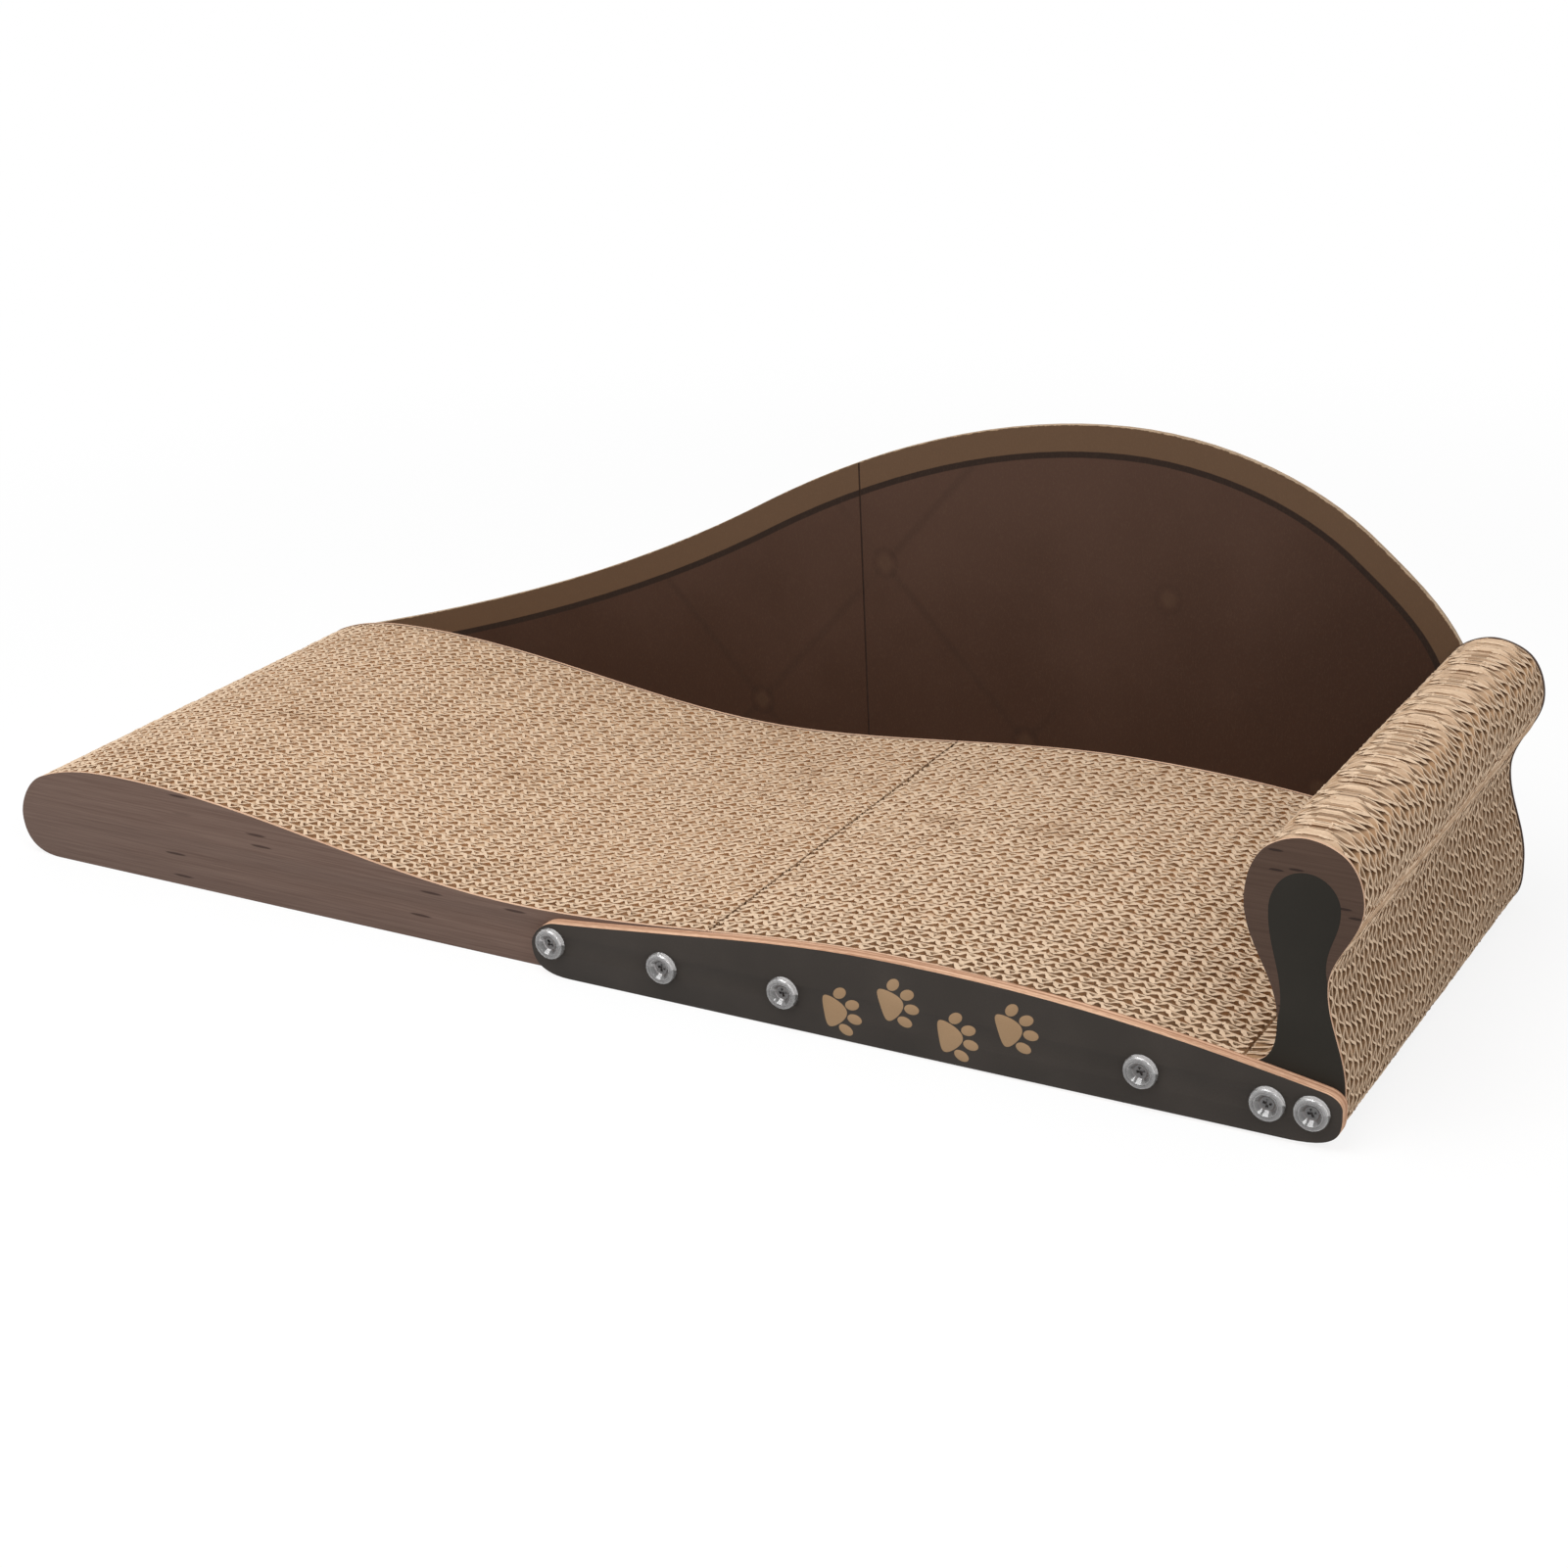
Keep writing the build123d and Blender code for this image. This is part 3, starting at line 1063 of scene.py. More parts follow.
@dataclass
class CorrugatedBlock:
    """One block of the lounge: boards of wavy paper between flat liners, glued face to face.

    Torn fibre lies in the cells. The front growth sinks it deeper near the front, and the fill growth towards
    the right and the front. A block with a smear has a band on its right side where the cells are filled.
    """

    name: str
    run: FluteRun
    seed: int
    packs: int = 6
    boards_in_a_pack: int = 8
    flute_pitch: float = 7.4 * MM
    flute_rim: float = 2.1 * MM
    liner_rim: float = 0.7 * MM
    wall: float = 0.4 * MM
    shoulder: float = 0.6 * MM
    most_shoulder_share: float = 0.3
    glue_line: float = 0.3 * MM
    flute_shift: float = 0.6 * MM
    mean_rim_share: float = 0.66
    flute_clearance: float = 1.0 * MM
    # Reach below the top of a block with lengthwise flutes over which the darker tone and painted shade fade
    # out.
    pale_top: float = 6.0 * MM
    steps_in_a_flute: int = 10
    liner_step: float = 1.85 * MM
    end_clearance: float = 0.4 * MM
    end_steps: int = 7
    rim_wear: float = 0.7 * MM
    warp: float = 0.9 * MM
    phase_drift: float = 10.0
    phase_scatter: float = 0.9
    liner_sink: float = 0.1 * MM
    fuzz: float = 0.8 * MM
    fill_step: float = 2.2 * MM
    fill_depth: Triple = (0.4 * MM, 1.0 * MM, 2.7 * MM)
    fill_growth: float = 0.0
    front_growth: float = 0.9
    front_reach: float = 22.0 * MM
    # Share of the darker tone and painted shade on the torn fibre.
    fill_shade: float = 0.66
    seam_lean: float = 0.001
    seam_share: float = 0.6
    smear_height: float = 0.0
    smear_half_width: float = 0.0
    smear_spread: Pair = (0.8, 1.2)
    smear_strength: float = 1.04

    def build(self, corrugation: GeometryTree, finishes: Finishes) -> None:
        """Make and hand over every pack of the block and its torn fibre.

        Args:
            corrugation: the tree that stacks the boards.
            finishes: materials of the object.
        """
        view = SideView(f"{self.name}_front_sheet")
        low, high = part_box(f"{self.name}_boards_1")
        thickness = (high.y - low.y) / self.boards_in_a_pack
        board = self._board(view, thickness)
        self._fill(view, thickness, finishes)
        across = (0.0, 0.0, 1.0) if self.run is FluteRun.UPRIGHT else (1.0, 0.0, 0.0)
        for pack in range(self.packs):
            node = f"{self.name}_boards_{pack + 1}"
            low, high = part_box(node)
            piece = linked(f"{self.name}_corrugation_{pack + 1}", board.copy())
            piece = corrugation.apply(piece, {
                "Boards": round((high.y - low.y) / thickness), "First Board": pack * self.boards_in_a_pack,
                "Board Thickness": thickness, "Stack Front": low.y, "Flute Pitch": self.flute_pitch,
                "Flute Height": thickness - 2 * self.glue_line - self.flute_clearance,
                "Phase Drift": self.phase_drift, "Phase Scatter": self.phase_scatter, "Rim Direction": across,
                "Rim Wear": self.rim_wear, "Liner Sink": self.liner_sink, "Fuzz": self.fuzz,
                "Warp": self.warp, "Seed": self.seed, "Paper": self._paper(finishes),
            })
            handed_over(self._thickened(piece, self.seed + pack), "corrugated_kraft", node)

    def _fill(self, view: SideView, thickness: float, finishes: Finishes) -> None:
        """Make and hand over the torn fibre that lies in the cells a little below the cut.

        Args:
            view: outline of the block.
            thickness: thickness of a board.
            finishes: materials of the object.
        """
        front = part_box(f"{self.name}_boards_1")[0].y
        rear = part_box(f"{self.name}_boards_{self.packs}")[1].y
        loop, inward = view.inset_lines(self.fill_step)
        depths = np.linspace(front, rear, 2 * round((rear - front) / thickness) + 1)
        left, right = view.outer[:, 0].min(), view.outer[:, 0].max()
        along = (loop[:, :1] - left) / (right - left)
        flush = self._flush(loop, inward)
        chance = np.random.default_rng(self.seed)
        points = []
        for depth in depths:
            nearness = math.exp((front - depth) / self.front_reach)
            growth = 1 + self.fill_growth * along * (rear - depth) / (rear - front)
            inset = growth * (1 + self.front_growth * nearness)
            inset = inset * chance.triangular(*self.fill_depth, (len(loop), 1))
            if self.smear_half_width > 0:
                inset = inset * self._unsmeared(loop, inward, chance.uniform(*self.smear_spread))
            points += [(x, depth, z) for x, z in loop + inward * np.where(flush, 0.0, inset)]
        count, last = len(loop), len(points) - len(loop)
        after = [(place + 1) % count for place in range(count)]
        faces = [
            (ring + count + here, ring + count + after[here], ring + after[here], ring + here)
            for ring in range(0, last, count) for here in range(count)
        ]
        faces += [tuple(range(count)), tuple(range(last, last + count))[::-1]]
        mesh = bpy.data.meshes.new(f"{self.name}_torn_fibre")
        mesh.from_pydata(points, [], faces)
        # The fibre takes a share of the darker tone and painted shade.
        keep_numbers(mesh, "deep", [self.fill_shade] * len(points))
        mesh.materials.append(self._paper(finishes))
        smoothed(mesh, FIBRE_ANGLE)
        handed_over(linked(mesh.name, mesh), "corrugated_kraft")

    def _flush(self, loop: np.ndarray, inward: np.ndarray) -> np.ndarray:
        """Where the fibre is flush with the outline, so that no light comes through a seam.

        Args:
            loop: stations round the outline.
            inward: way inward from each station.

        Returns:
            True for the lower stations of the straight ends of a block with upright flutes.
        """
        straight = np.abs(inward[:, 1:]) < self.seam_lean
        low = loop[:, 1:] < self.seam_share * loop[:, 1].max()
        return straight & low & (self.run is FluteRun.UPRIGHT)

    def _unsmeared(self, loop: np.ndarray, inward: np.ndarray, spread: float) -> np.ndarray:
        """Share of the fibre's depth that the smear on the right side leaves.

        Args:
            loop: stations round the outline.
            inward: way inward from each station.
            spread: how much wider than usual the smear is here.

        Returns:
            The share at each station.
        """
        away = (loop[:, 1:] - self.smear_height) / self.smear_half_width / spread
        return np.where(inward[:, :1] < 0, 1 - self.smear_strength * np.exp(-(away ** 2)), 1)

    def _paper(self, finishes: Finishes) -> bpy.types.Material:
        """Paper of the sheets, with darker painted shade inside where the flutes run on through the block."""
        return finishes.kraft if self.run is FluteRun.UPRIGHT else finishes.open_kraft

    def _thickened(self, piece: bpy.types.Object, seed: int) -> bpy.types.Object:
        """Give the sheets their paper thickness, flared where the saw has torn the rim.

        Args:
            piece: stack of sheets without thickness.
            seed: seed of the uneven flare.

        Returns:
            The finished piece.
        """
        torn = np.random.default_rng(seed).uniform(2 * self.mean_rim_share - 1, 1, len(piece.data.vertices))
        fluted, cut = (kept_numbers(piece.data, label) > 0.5 for label in ("fluted", "edge"))
        rim = np.where(fluted, self.flute_rim, self.liner_rim) * torn
        width = np.where(cut, rim, self.wall) / self.flute_rim
        thick = piece.vertex_groups.new(name="thick")
        for index, share in enumerate(width.tolist()):
            thick.add([index], share, "REPLACE")
        solid = piece.modifiers.new("paper", "SOLIDIFY")
        solid.vertex_group = thick.name
        solid.thickness = self.flute_rim
        solid.offset = 0.0
        solid.use_even_offset = True
        piece = settled(piece)
        smoothed(piece.data, PAPER_ANGLE)
        return piece

    def _board(self, view: SideView, thickness: float) -> bpy.types.Mesh:
        """One board without paper thickness: a liner, a sheet to be fluted and a liner.

        Args:
            view: outline of the block.
            thickness: thickness of a board.

        Returns:
            Mesh whose points keep their place in the row of flutes, whether fluted or cut, and how deep in
            darker tone and painted shade.
        """
        axis = self.run.value
        start = view.outer[:, axis].min() + self.end_clearance
        end = view.outer[:, axis].max() - self.end_clearance
        inset = thickness / 2 - self.mean_rim_share * self.liner_rim / 2
        flute_step = self.flute_pitch / self.steps_in_a_flute
        sheets = [
            (-inset, self.liner_step, 0.0),
            (self.flute_shift, flute_step, 1.0),
            (inset, self.liner_step, 0.0),
        ]
        points, faces = [], []
        kept: dict[str, list[float]] = {"along": [], "fluted": [], "rim": [], "deep": [], "edge": []}
        for depth, step, wavy in sheets:
            first = len(points)
            places = self._places(start, end, step)
            for place in places:
                # Darker tone and painted shade fade out near the top of a block with lengthwise flutes.
                column = self._column(*view.span(axis, place), min(1.0, (end - place) / self.pale_top))
                for bound, rim, deep, edge in column:
                    points.append((place, depth, bound) if axis == 0 else (bound, depth, place))
                    for label, number in zip(kept, (place, wavy, rim, deep, edge)):
                        kept[label].append(number)
            faces += grid_faces(len(places), len(column), first)
        mesh = bpy.data.meshes.new(f"{self.name}_board")
        mesh.from_pydata(points, [], faces)
        for label, numbers in kept.items():
            keep_numbers(mesh, label, numbers)
        return mesh

    def _column(self, lower: float, upper: float, deep: float) -> list[tuple[float, float, float, float]]:
        """Points of a sheet from one bound of the outline to the other.

        Args:
            lower: lower or left bound.
            upper: upper or right bound.
            deep: how deep the sheet lies here in a block with lengthwise flutes, from 0 to 1, for its darker
                tone and painted shade.

        Returns:
            Place, side of the cut, depth for the darker tone and painted shade, and cut rim of each point.
        """
        shoulder = min(self.shoulder, self.most_shoulder_share * (upper - lower))
        if self.run is FluteRun.UPRIGHT:
            return [(lower, 0.0, 1.0, 0.0), (upper - shoulder, 1.0, 1.0, 0.0), (upper, 1.0, 0.0, 1.0)]
        return [
            (lower, -1.0, 0.0, 1.0), (lower + shoulder, -1.0, deep, 0.0),
            (upper - shoulder, 1.0, deep, 0.0), (upper, 1.0, 0.0, 1.0),
        ]

    def _places(self, start: float, end: float, step: float) -> np.ndarray:
        """Stations along a sheet, closer at its ends where the outline turns quickly.

        Args:
            start: first station.
            end: last station.
            step: usual distance.

        Returns:
            The stations in order.
        """
        count = max(2, round((end - start) / step))
        even = np.linspace(start, end, count + 1)
        near = step * np.linspace(0, 1, self.end_steps) ** 2
        places = np.concatenate([even, start + near, end - near])
        return np.unique(np.round(places, decimals=7))


def plate(name: str, loops: list[np.ndarray], front: float, rear: float, rounding: float) -> bpy.types.Object:
    """Flat sheet cut to loops of the side view, with softly rounded arrises.

    Args:
        name: name of the piece.
        loops: outline and bores, rows of (x, z).
        front: depth of the front face.
        rear: depth of the rear face.
        rounding: radius of the arrises.

    Returns:
        The piece, a plain mesh in its place.
    """
    curve = bpy.data.curves.new(name, "CURVE")
    curve.dimensions = "2D"
    curve.fill_mode = "BOTH"
    curve.extrude = (rear - front) / 2 - rounding
    curve.bevel_depth = rounding
    curve.bevel_resolution = 1
    curve.offset = -rounding
    for loop in loops:
        spline = curve.splines.new("POLY")
        spline.points.add(len(loop) - 1)
        spots = np.column_stack([loop, np.zeros(len(loop)), np.ones(len(loop))])
        spline.points.foreach_set("co", spots.ravel())
        spline.use_cyclic_u = True
    piece = settled(linked(name, curve))
    upright = Matrix.Translation((0, (front + rear) / 2, 0)) @ Matrix.Rotation(math.pi / 2, 4, "X")
    piece.data.transform(upright)
    merged = bmesh.new()
    merged.from_mesh(piece.data)
    bmesh.ops.remove_doubles(merged, verts=merged.verts, dist=MERGE_DISTANCE)
    bmesh.ops.recalc_face_normals(merged, faces=merged.faces)
    merged.to_mesh(piece.data)
    merged.free()
    smoothed(piece.data, PLATE_ANGLE)
    return piece


def dressed(piece: bpy.types.Object, face: bpy.types.Material, edge: bpy.types.Material) -> bpy.types.Object:
    """Print on the two faces of a plate and bare board on its cut edges.

    Args:
        piece: the plate.
        face: finish of the faces.
        edge: finish of the edges.

    Returns:
        The plate.
    """
    piece.data.materials.clear()
    for material in (face, edge):
        piece.data.materials.append(material)
    for polygon in piece.data.polygons:
        polygon.material_index = 0 if abs(polygon.normal.y) > FACE_SLOPE else 1
    return piece


@dataclass
class PrintedSheets:
    """The printed card sheets on the front and the rear of each block."""

    blocks: tuple[str, ...] = ("ramp", "seat", "armrest")
    rounding: float = 0.2 * MM

    def build(self, finishes: Finishes) -> None:
        """Make and hand over the six sheets.

        Args:
            finishes: materials of the object.
        """
        for block in self.blocks:
            for side in ("front", "rear"):
                node = f"{block}_{side}_sheet"
                view = SideView(node)
                name = f"{block}_{side}_card"
                piece = plate(name, view.loops, view.front, view.rear, self.rounding)
                edge = finishes.dark_edge if node == "armrest_rear_sheet" else finishes.card_edge
                face = finishes.dark_wood if block == "armrest" else finishes.wood
                handed_over(dressed(piece, face, edge), "wood_print_card", node)


def flowing(stations: list[Station], round_share: float, steps: int = 14) -> np.ndarray:
    """Smooth line through stations.

    Args:
        stations: place and heading of each station, (x, z, heading x, heading z).
        round_share: how far the line keeps to each heading, as a share of the way to the next station.
        steps: points between two stations.

    Returns:
        Rows of (x, z).
    """
    line = []
    for (x0, z0, u0, w0), (x1, z1, u1, w1) in zip(stations, stations[1:]):
        reach = math.dist((x0, z0), (x1, z1)) * round_share
        start, end = np.array([x0, z0]), np.array([x1, z1])
        leave = np.array([u0, w0]) / math.hypot(u0, w0) * reach
        arrive = np.array([u1, w1]) / math.hypot(u1, w1) * reach
        for t in np.linspace(0, 1, steps, endpoint=False):
            line.append((2 * t**3 - 3 * t**2 + 1) * start + (t**3 - 2 * t**2 + t) * leave
                        + (3 * t**2 - 2 * t**3) * end + (t**3 - t**2) * arrive)
    line.append(np.array(stations[-1][:2]))
    return np.array(line)


@dataclass
class ArmrestPrint:
    """Dark print on the armrest's front: the foot, and a bottle shape in the roll."""

    proud: float = 0.06 * MM
    thickness: float = 0.14 * MM
    rounding: float = 0.03 * MM
    end_lean: float = 0.1
    left_end_height: float = 48.0 * MM
    right_end_height: float = 67.0 * MM
    neck_left: Pair = (15.9 * MM, 56.0 * MM)
    neck_right: Pair = (33.5 * MM, 74.0 * MM)
    bulge_left: Pair = (10.2 * MM, 94.5 * MM)
    bulge_top: Pair = (25.0 * MM, 112.0 * MM)
    bulge_right: Pair = (38.6 * MM, 98.3 * MM)
    roundness: float = 1.17

    def build(self, finishes: Finishes) -> None:
        """Make and hand over the print as a thin film on the card.

        Args:
            finishes: materials of the object.
        """
        view = SideView("armrest_front_sheet")
        foot = view.outer[:, 0].min()
        left = view.span(1, self.left_end_height)[0]
        right = view.span(1, self.right_end_height)[1]
        turns = (
            (self.neck_right, (0, 1)), (self.bulge_right, (0, 1)), (self.bulge_top, (-1, 0)),
            (self.bulge_left, (0, -1)), (self.neck_left, (0, -1)),
        )
        bottle = flowing([
            (right, self.right_end_height, -self.end_lean, 1),
            *[(foot + run, height, *heading) for (run, height), heading in turns],
            (left, self.left_end_height, -self.end_lean, -1),
        ], self.roundness)
        x, z = view.outer.T
        middle = (left + right) / 2
        left_side = view.outer[(z < self.left_end_height) & (x < middle)].tolist()
        right_side = view.outer[(z < self.right_end_height) & (x >= middle)].tolist()
        left_side.sort(key=lambda spot: (-spot[1], spot[0]))
        right_side.sort(key=lambda spot: (spot[1], spot[0]))
        loop = np.array([*bottle.tolist(), *left_side, *right_side])
        front = view.front - self.proud
        piece = plate("armrest_foot_print", [loop], front, front + self.thickness, self.rounding)
        handed_over(dressed(piece, finishes.foot_ink, finishes.foot_ink), "charcoal_paper")


@dataclass
class FrontRail:
    """The rail along the front: a thick board with a charcoal paper on its face."""

    rounding: float = 0.25 * MM
    paper_rounding: float = 0.12 * MM

    def build(self, finishes: Finishes) -> None:
        """Make and hand over the board and its paper.

        Args:
            finishes: materials of the object.
        """
        view = SideView("rail_board")
        board = plate("rail_core", view.loops, view.front, view.rear, self.rounding)
        handed_over(dressed(board, finishes.board_edge, finishes.board_edge), "solid_board", "rail_board")
        view = SideView("rail_front_paper")
        face = plate("rail_face", view.loops, view.front, view.rear, self.paper_rounding)
        dressed(face, finishes.rail_ink, finishes.board_edge)
        handed_over(face, "charcoal_paper", "rail_front_paper")


@dataclass
class BackPanel:
    """The swept back panel: a thin board between a printed front paper and a plain rear paper."""

    column_step: float = 2.0 * MM
    row_step: float = 1.0 * MM
    fine_depth: float = 26.0 * MM
    coarse_rows: int = 8
    end_steps: int = 6
    end_clearance: float = 0.05 * MM
    rounding: float = 0.2 * MM
    paper_rounding: float = 0.08 * MM
    lowest_edge: float = 1.0 * MM

    def build(self, finishes: Finishes) -> None:
        """Make and hand over the board and its three papers.

        Args:
            finishes: materials of the object.
        """
        view = SideView("panel_board")
        whole = SideView("panel_rear_paper")
        board = plate("panel_core", whole.loops, view.front, view.rear, self.rounding)
        # The core's dark faces are painted shade in the fold between the front paper's leaves.
        handed_over(dressed(board, finishes.panel_core, finishes.panel_edge), "solid_board", "panel_board")
        back = plate("panel_back", whole.loops, whole.front, whole.rear, self.paper_rounding)
        handed_over(dressed(back, finishes.back, finishes.back), "kraft_paper", "panel_rear_paper")
        for leaf in ("left", "right"):
            self._leaf(leaf, whole, finishes)

    def _leaf(self, leaf: str, whole: SideView, finishes: Finishes) -> None:
        """Make and hand over one leaf of the front paper.

        Args:
            leaf: which leaf.
            whole: outline of the whole panel.
            finishes: materials of the object.
        """
        node = f"panel_front_paper_{leaf}"
        view = SideView(node)
        left = view.outer[:, 0].min() + self.end_clearance
        right = view.outer[:, 0].max() - self.end_clearance
        count = round((right - left + 2 * self.end_clearance) / self.column_step)
        near = self.column_step * np.linspace(0, 1, self.end_steps) ** 2
        columns = np.unique(np.concatenate([np.linspace(left, right, count), left + near, right - near]))
        fine = np.arange(0, self.fine_depth, self.row_step)
        points = []
        for x in columns:
            low, high = view.span(0, x)
            coarse = np.linspace(self.fine_depth, max(high - low, self.fine_depth), self.coarse_rows)
            drops = np.concatenate([fine, coarse]) * min(1.0, (high - low) / self.fine_depth)
            points += [(x, view.front, high - min(drop, high - low)) for drop in drops]
        faces = grid_faces(len(columns), len(fine) + self.coarse_rows)
        mesh = bpy.data.meshes.new(node)
        mesh.from_pydata(points, [], [(face[0], *face[:0:-1]) for face in faces])
        flat = np.array(points)[:, [0, 2]]
        keep_numbers(mesh, "edge", whole.depth(flat, self.lowest_edge) / MM)
        piece = linked(f"panel_print_{leaf}", mesh)
        solid = piece.modifiers.new("paper", "SOLIDIFY")
        solid.thickness = view.rear - view.front
        solid.offset = -1.0
        piece = settled(piece)
        piece.data.materials.append(finishes.panel)
        smoothed(piece.data, PLATE_ANGLE)
        handed_over(piece, "brown_print_paper", node)


@dataclass
class Screws:
    """Clear plastic screws with a rounded rim, a dished face and a cross recess."""

    head_radius: float = 7.2 * MM
    head_height: float = 3.0 * MM
    reach: float = 38.0 * MM
    core_radius: float = 2.5 * MM
    thread_radius: float = 3.8 * MM
    thread_pitch: float = 4.0 * MM
    thread_start: float = 9.0 * MM
    thread_steps: int = 20
    thread_half_share: float = 0.2
    thread_sink: float = 0.3 * MM
    tip_length: float = 6.0 * MM
    tip_radius: float = 1.0 * MM
    cross_length: float = 5.6 * MM
    cross_width: float = 1.7 * MM
    cross_depth: float = 1.2 * MM
    cross_taper: float = 0.55
    dish_share: float = 0.2
    seed: int = 5
    sides: int = 48
    smooth_angle: float = 35.0
    tilt: float = 0.03
    # Painted light and shade by share of the head radius: painted highlights on the rim and round the recess,
    # painted shade in the middle.
    glint_and_shade_shares: tuple[Pair, ...] = (
        (0.0, 0.0), (0.45, 0.05), (0.6, 0.15), (0.66, 0.75), (0.7, 0.6), (0.74, 0.35), (0.78, 0.55),
        (0.87, 0.7), (0.92, 1.0), (1.0, 1.0),
    )
    head_shape: tuple[Pair, ...] = (
        (1.0, 0.0), (1.0, 0.5), (0.985, 0.68), (0.95, 0.83), (0.91, 0.93), (0.87, 0.98), (0.83, 1.0),
        (0.79, 0.99), (0.765, 0.96), (0.75, 0.92), (0.735, 0.9), (0.72, 0.92), (0.7, 0.95), (0.68, 0.94),
        (0.66, 0.9), (0.64, 0.84), (0.42, 0.22), (0.39, 0.16), (0.35, 0.13), (0.0, 0.12),
    )

    def build(self, finishes: Finishes) -> None:
        """Make and hand over the front row and the rear row.

        Args:
            finishes: materials of the object.
        """
        tree = self._row_tree()
        for node, facing in (("front_screws", 1), ("rear_screws", -1)):
            low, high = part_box(node)
            seat = low.y + self.head_height if facing > 0 else high.y - self.head_height
            points = bpy.data.meshes.new(node)
            points.from_pydata([(x, seat, z) for x, z in self._places(node)], [], [])
            one = linked("screw_pattern", self._one())
            piece = tree.apply(linked(f"{node}_clear", points), {
                "Screw": one, "Facing": facing * math.pi / 2, "Tilt": self.tilt, "Seed": self.seed,
                "Plastic": finishes.clear,
            })
            bpy.data.objects.remove(one)
            smoothed(piece.data, self.smooth_angle)
            handed_over(piece, "clear_plastic", node)

    @staticmethod
    def _row_tree() -> GeometryTree:
        """Write the tree that sets a screw on each point, turned by chance and a little askew.

        Returns:
            The tree.
        """
        tree = GeometryTree("screw_row", {
            "Screw": bpy.types.Object, "Facing": float, "Tilt": float, "Seed": int,
            "Plastic": bpy.types.Material,
        })
        given = tree.given.other
        index = tree.node("GeometryNodeInputIndex")
        seed, tilt = given("Seed"), given("Tilt")
        lean = [tree.scatter(-1.0, 1.0, index, seed + step) * tilt for step in (0, 1)]
        turn = tree.scatter(0.0, math.pi, index, seed + 2)
        angles = tree.combine(given("Facing") + lean[0], lean[1], 0.0)
        points = tree.node("GeometryNodeMeshToPoints", None, {"Mesh": given("Geometry")})
        shape = tree.node("GeometryNodeObjectInfo", None, {"Object": given("Screw")}, "Geometry")
        sockets = {"Points": points, "Instance": shape, "Rotation": angles}
        row = tree.node("GeometryNodeInstanceOnPoints", None, sockets)
        sockets = {"Instances": row, "Rotation": tree.combine(0.0, 0.0, turn)}
        row = tree.node("GeometryNodeRotateInstances", None, sockets)
        tree.close(row, given("Plastic"))
        return tree

    @staticmethod
    def _places(node: str) -> list[Pair]:
        """Centres of the screws of a row, from its solids.

        Args:
            node: CAD node of the row.

        Returns:
            (x, z) of each screw, from the nose on.
        """
        row = welded(node)
        left, centres = set(row.verts), []
        while left:
            reached, waiting = set(), [next(iter(left))]
            while waiting:
                vert = waiting.pop()
                if vert not in reached:
                    reached.add(vert)
                    waiting += [edge.other_vert(vert) for edge in vert.link_edges]
            left -= reached
            spots = np.array([v.co for v in reached])
            middle = (spots.min(axis=0) + spots.max(axis=0)) / 2
            centres.append((float(middle[0]), float(middle[2])))
        row.free()
        return sorted(centres)

    def _one(self) -> bpy.types.Mesh:
        """One screw, head up, the seat of its head at the origin.

        Returns:
            Mesh of the screw, its cross recess cut.
        """
        core_end = self.tip_length - self.reach
        profile = [(share * self.head_radius, rise * self.head_height) for share, rise in self.head_shape]
        profile = [(0.0, -self.reach), (self.tip_radius, -self.reach), (self.core_radius, core_end),
                   (self.core_radius, 0.0), *profile]
        shape = bmesh.new()
        rings = []
        for radius, height in profile:
            count = self.sides if radius > 0 else 1
            turns = [math.tau * side / count for side in range(count)]
            spots = [(radius * math.cos(turn), radius * math.sin(turn), height) for turn in turns]
            rings.append([shape.verts.new(spot) for spot in spots])
        for lower, upper in zip(rings, rings[1:]):
            for side in range(self.sides):
                corners = [lower[side % len(lower)], lower[(side + 1) % len(lower)],
                           upper[(side + 1) % len(upper)], upper[side % len(upper)]]
                shape.faces.new(dict.fromkeys(corners))
        self._thread(shape, core_end)
        bmesh.ops.recalc_face_normals(shape, faces=shape.faces)
        mesh = bpy.data.meshes.new("screw_pattern")
        shape.to_mesh(mesh)
        shape.free()
        return self._crossed(mesh)

    def _thread(self, shape: bmesh.types.BMesh, core_end: float) -> None:
        """Add the thread, a ridge wound round the core.

        Args:
            shape: mesh that takes the thread.
            core_end: height where the core ends.
        """
        run = -self.thread_start - core_end
        count = round(run / self.thread_pitch * self.thread_steps)
        half = self.thread_half_share * self.thread_pitch
        root = self.core_radius - self.thread_sink
        crest = self.thread_radius
        corners = [(root, -half), (crest, -half / 3), (crest, half / 3), (root, half)]
        sections = []
        for step in range(count + 1):
            angle = math.tau * step / self.thread_steps
            height = core_end + run * step / count
            sections.append([
                shape.verts.new((r * math.cos(angle), r * math.sin(angle), height + h)) for r, h in corners])
        for one, two in zip(sections, sections[1:]):
            for here in range(len(corners)):
                after = (here + 1) % len(corners)
                shape.faces.new((one[here], one[after], two[after], two[here]))
        shape.faces.new(sections[0])
        shape.faces.new(sections[-1])

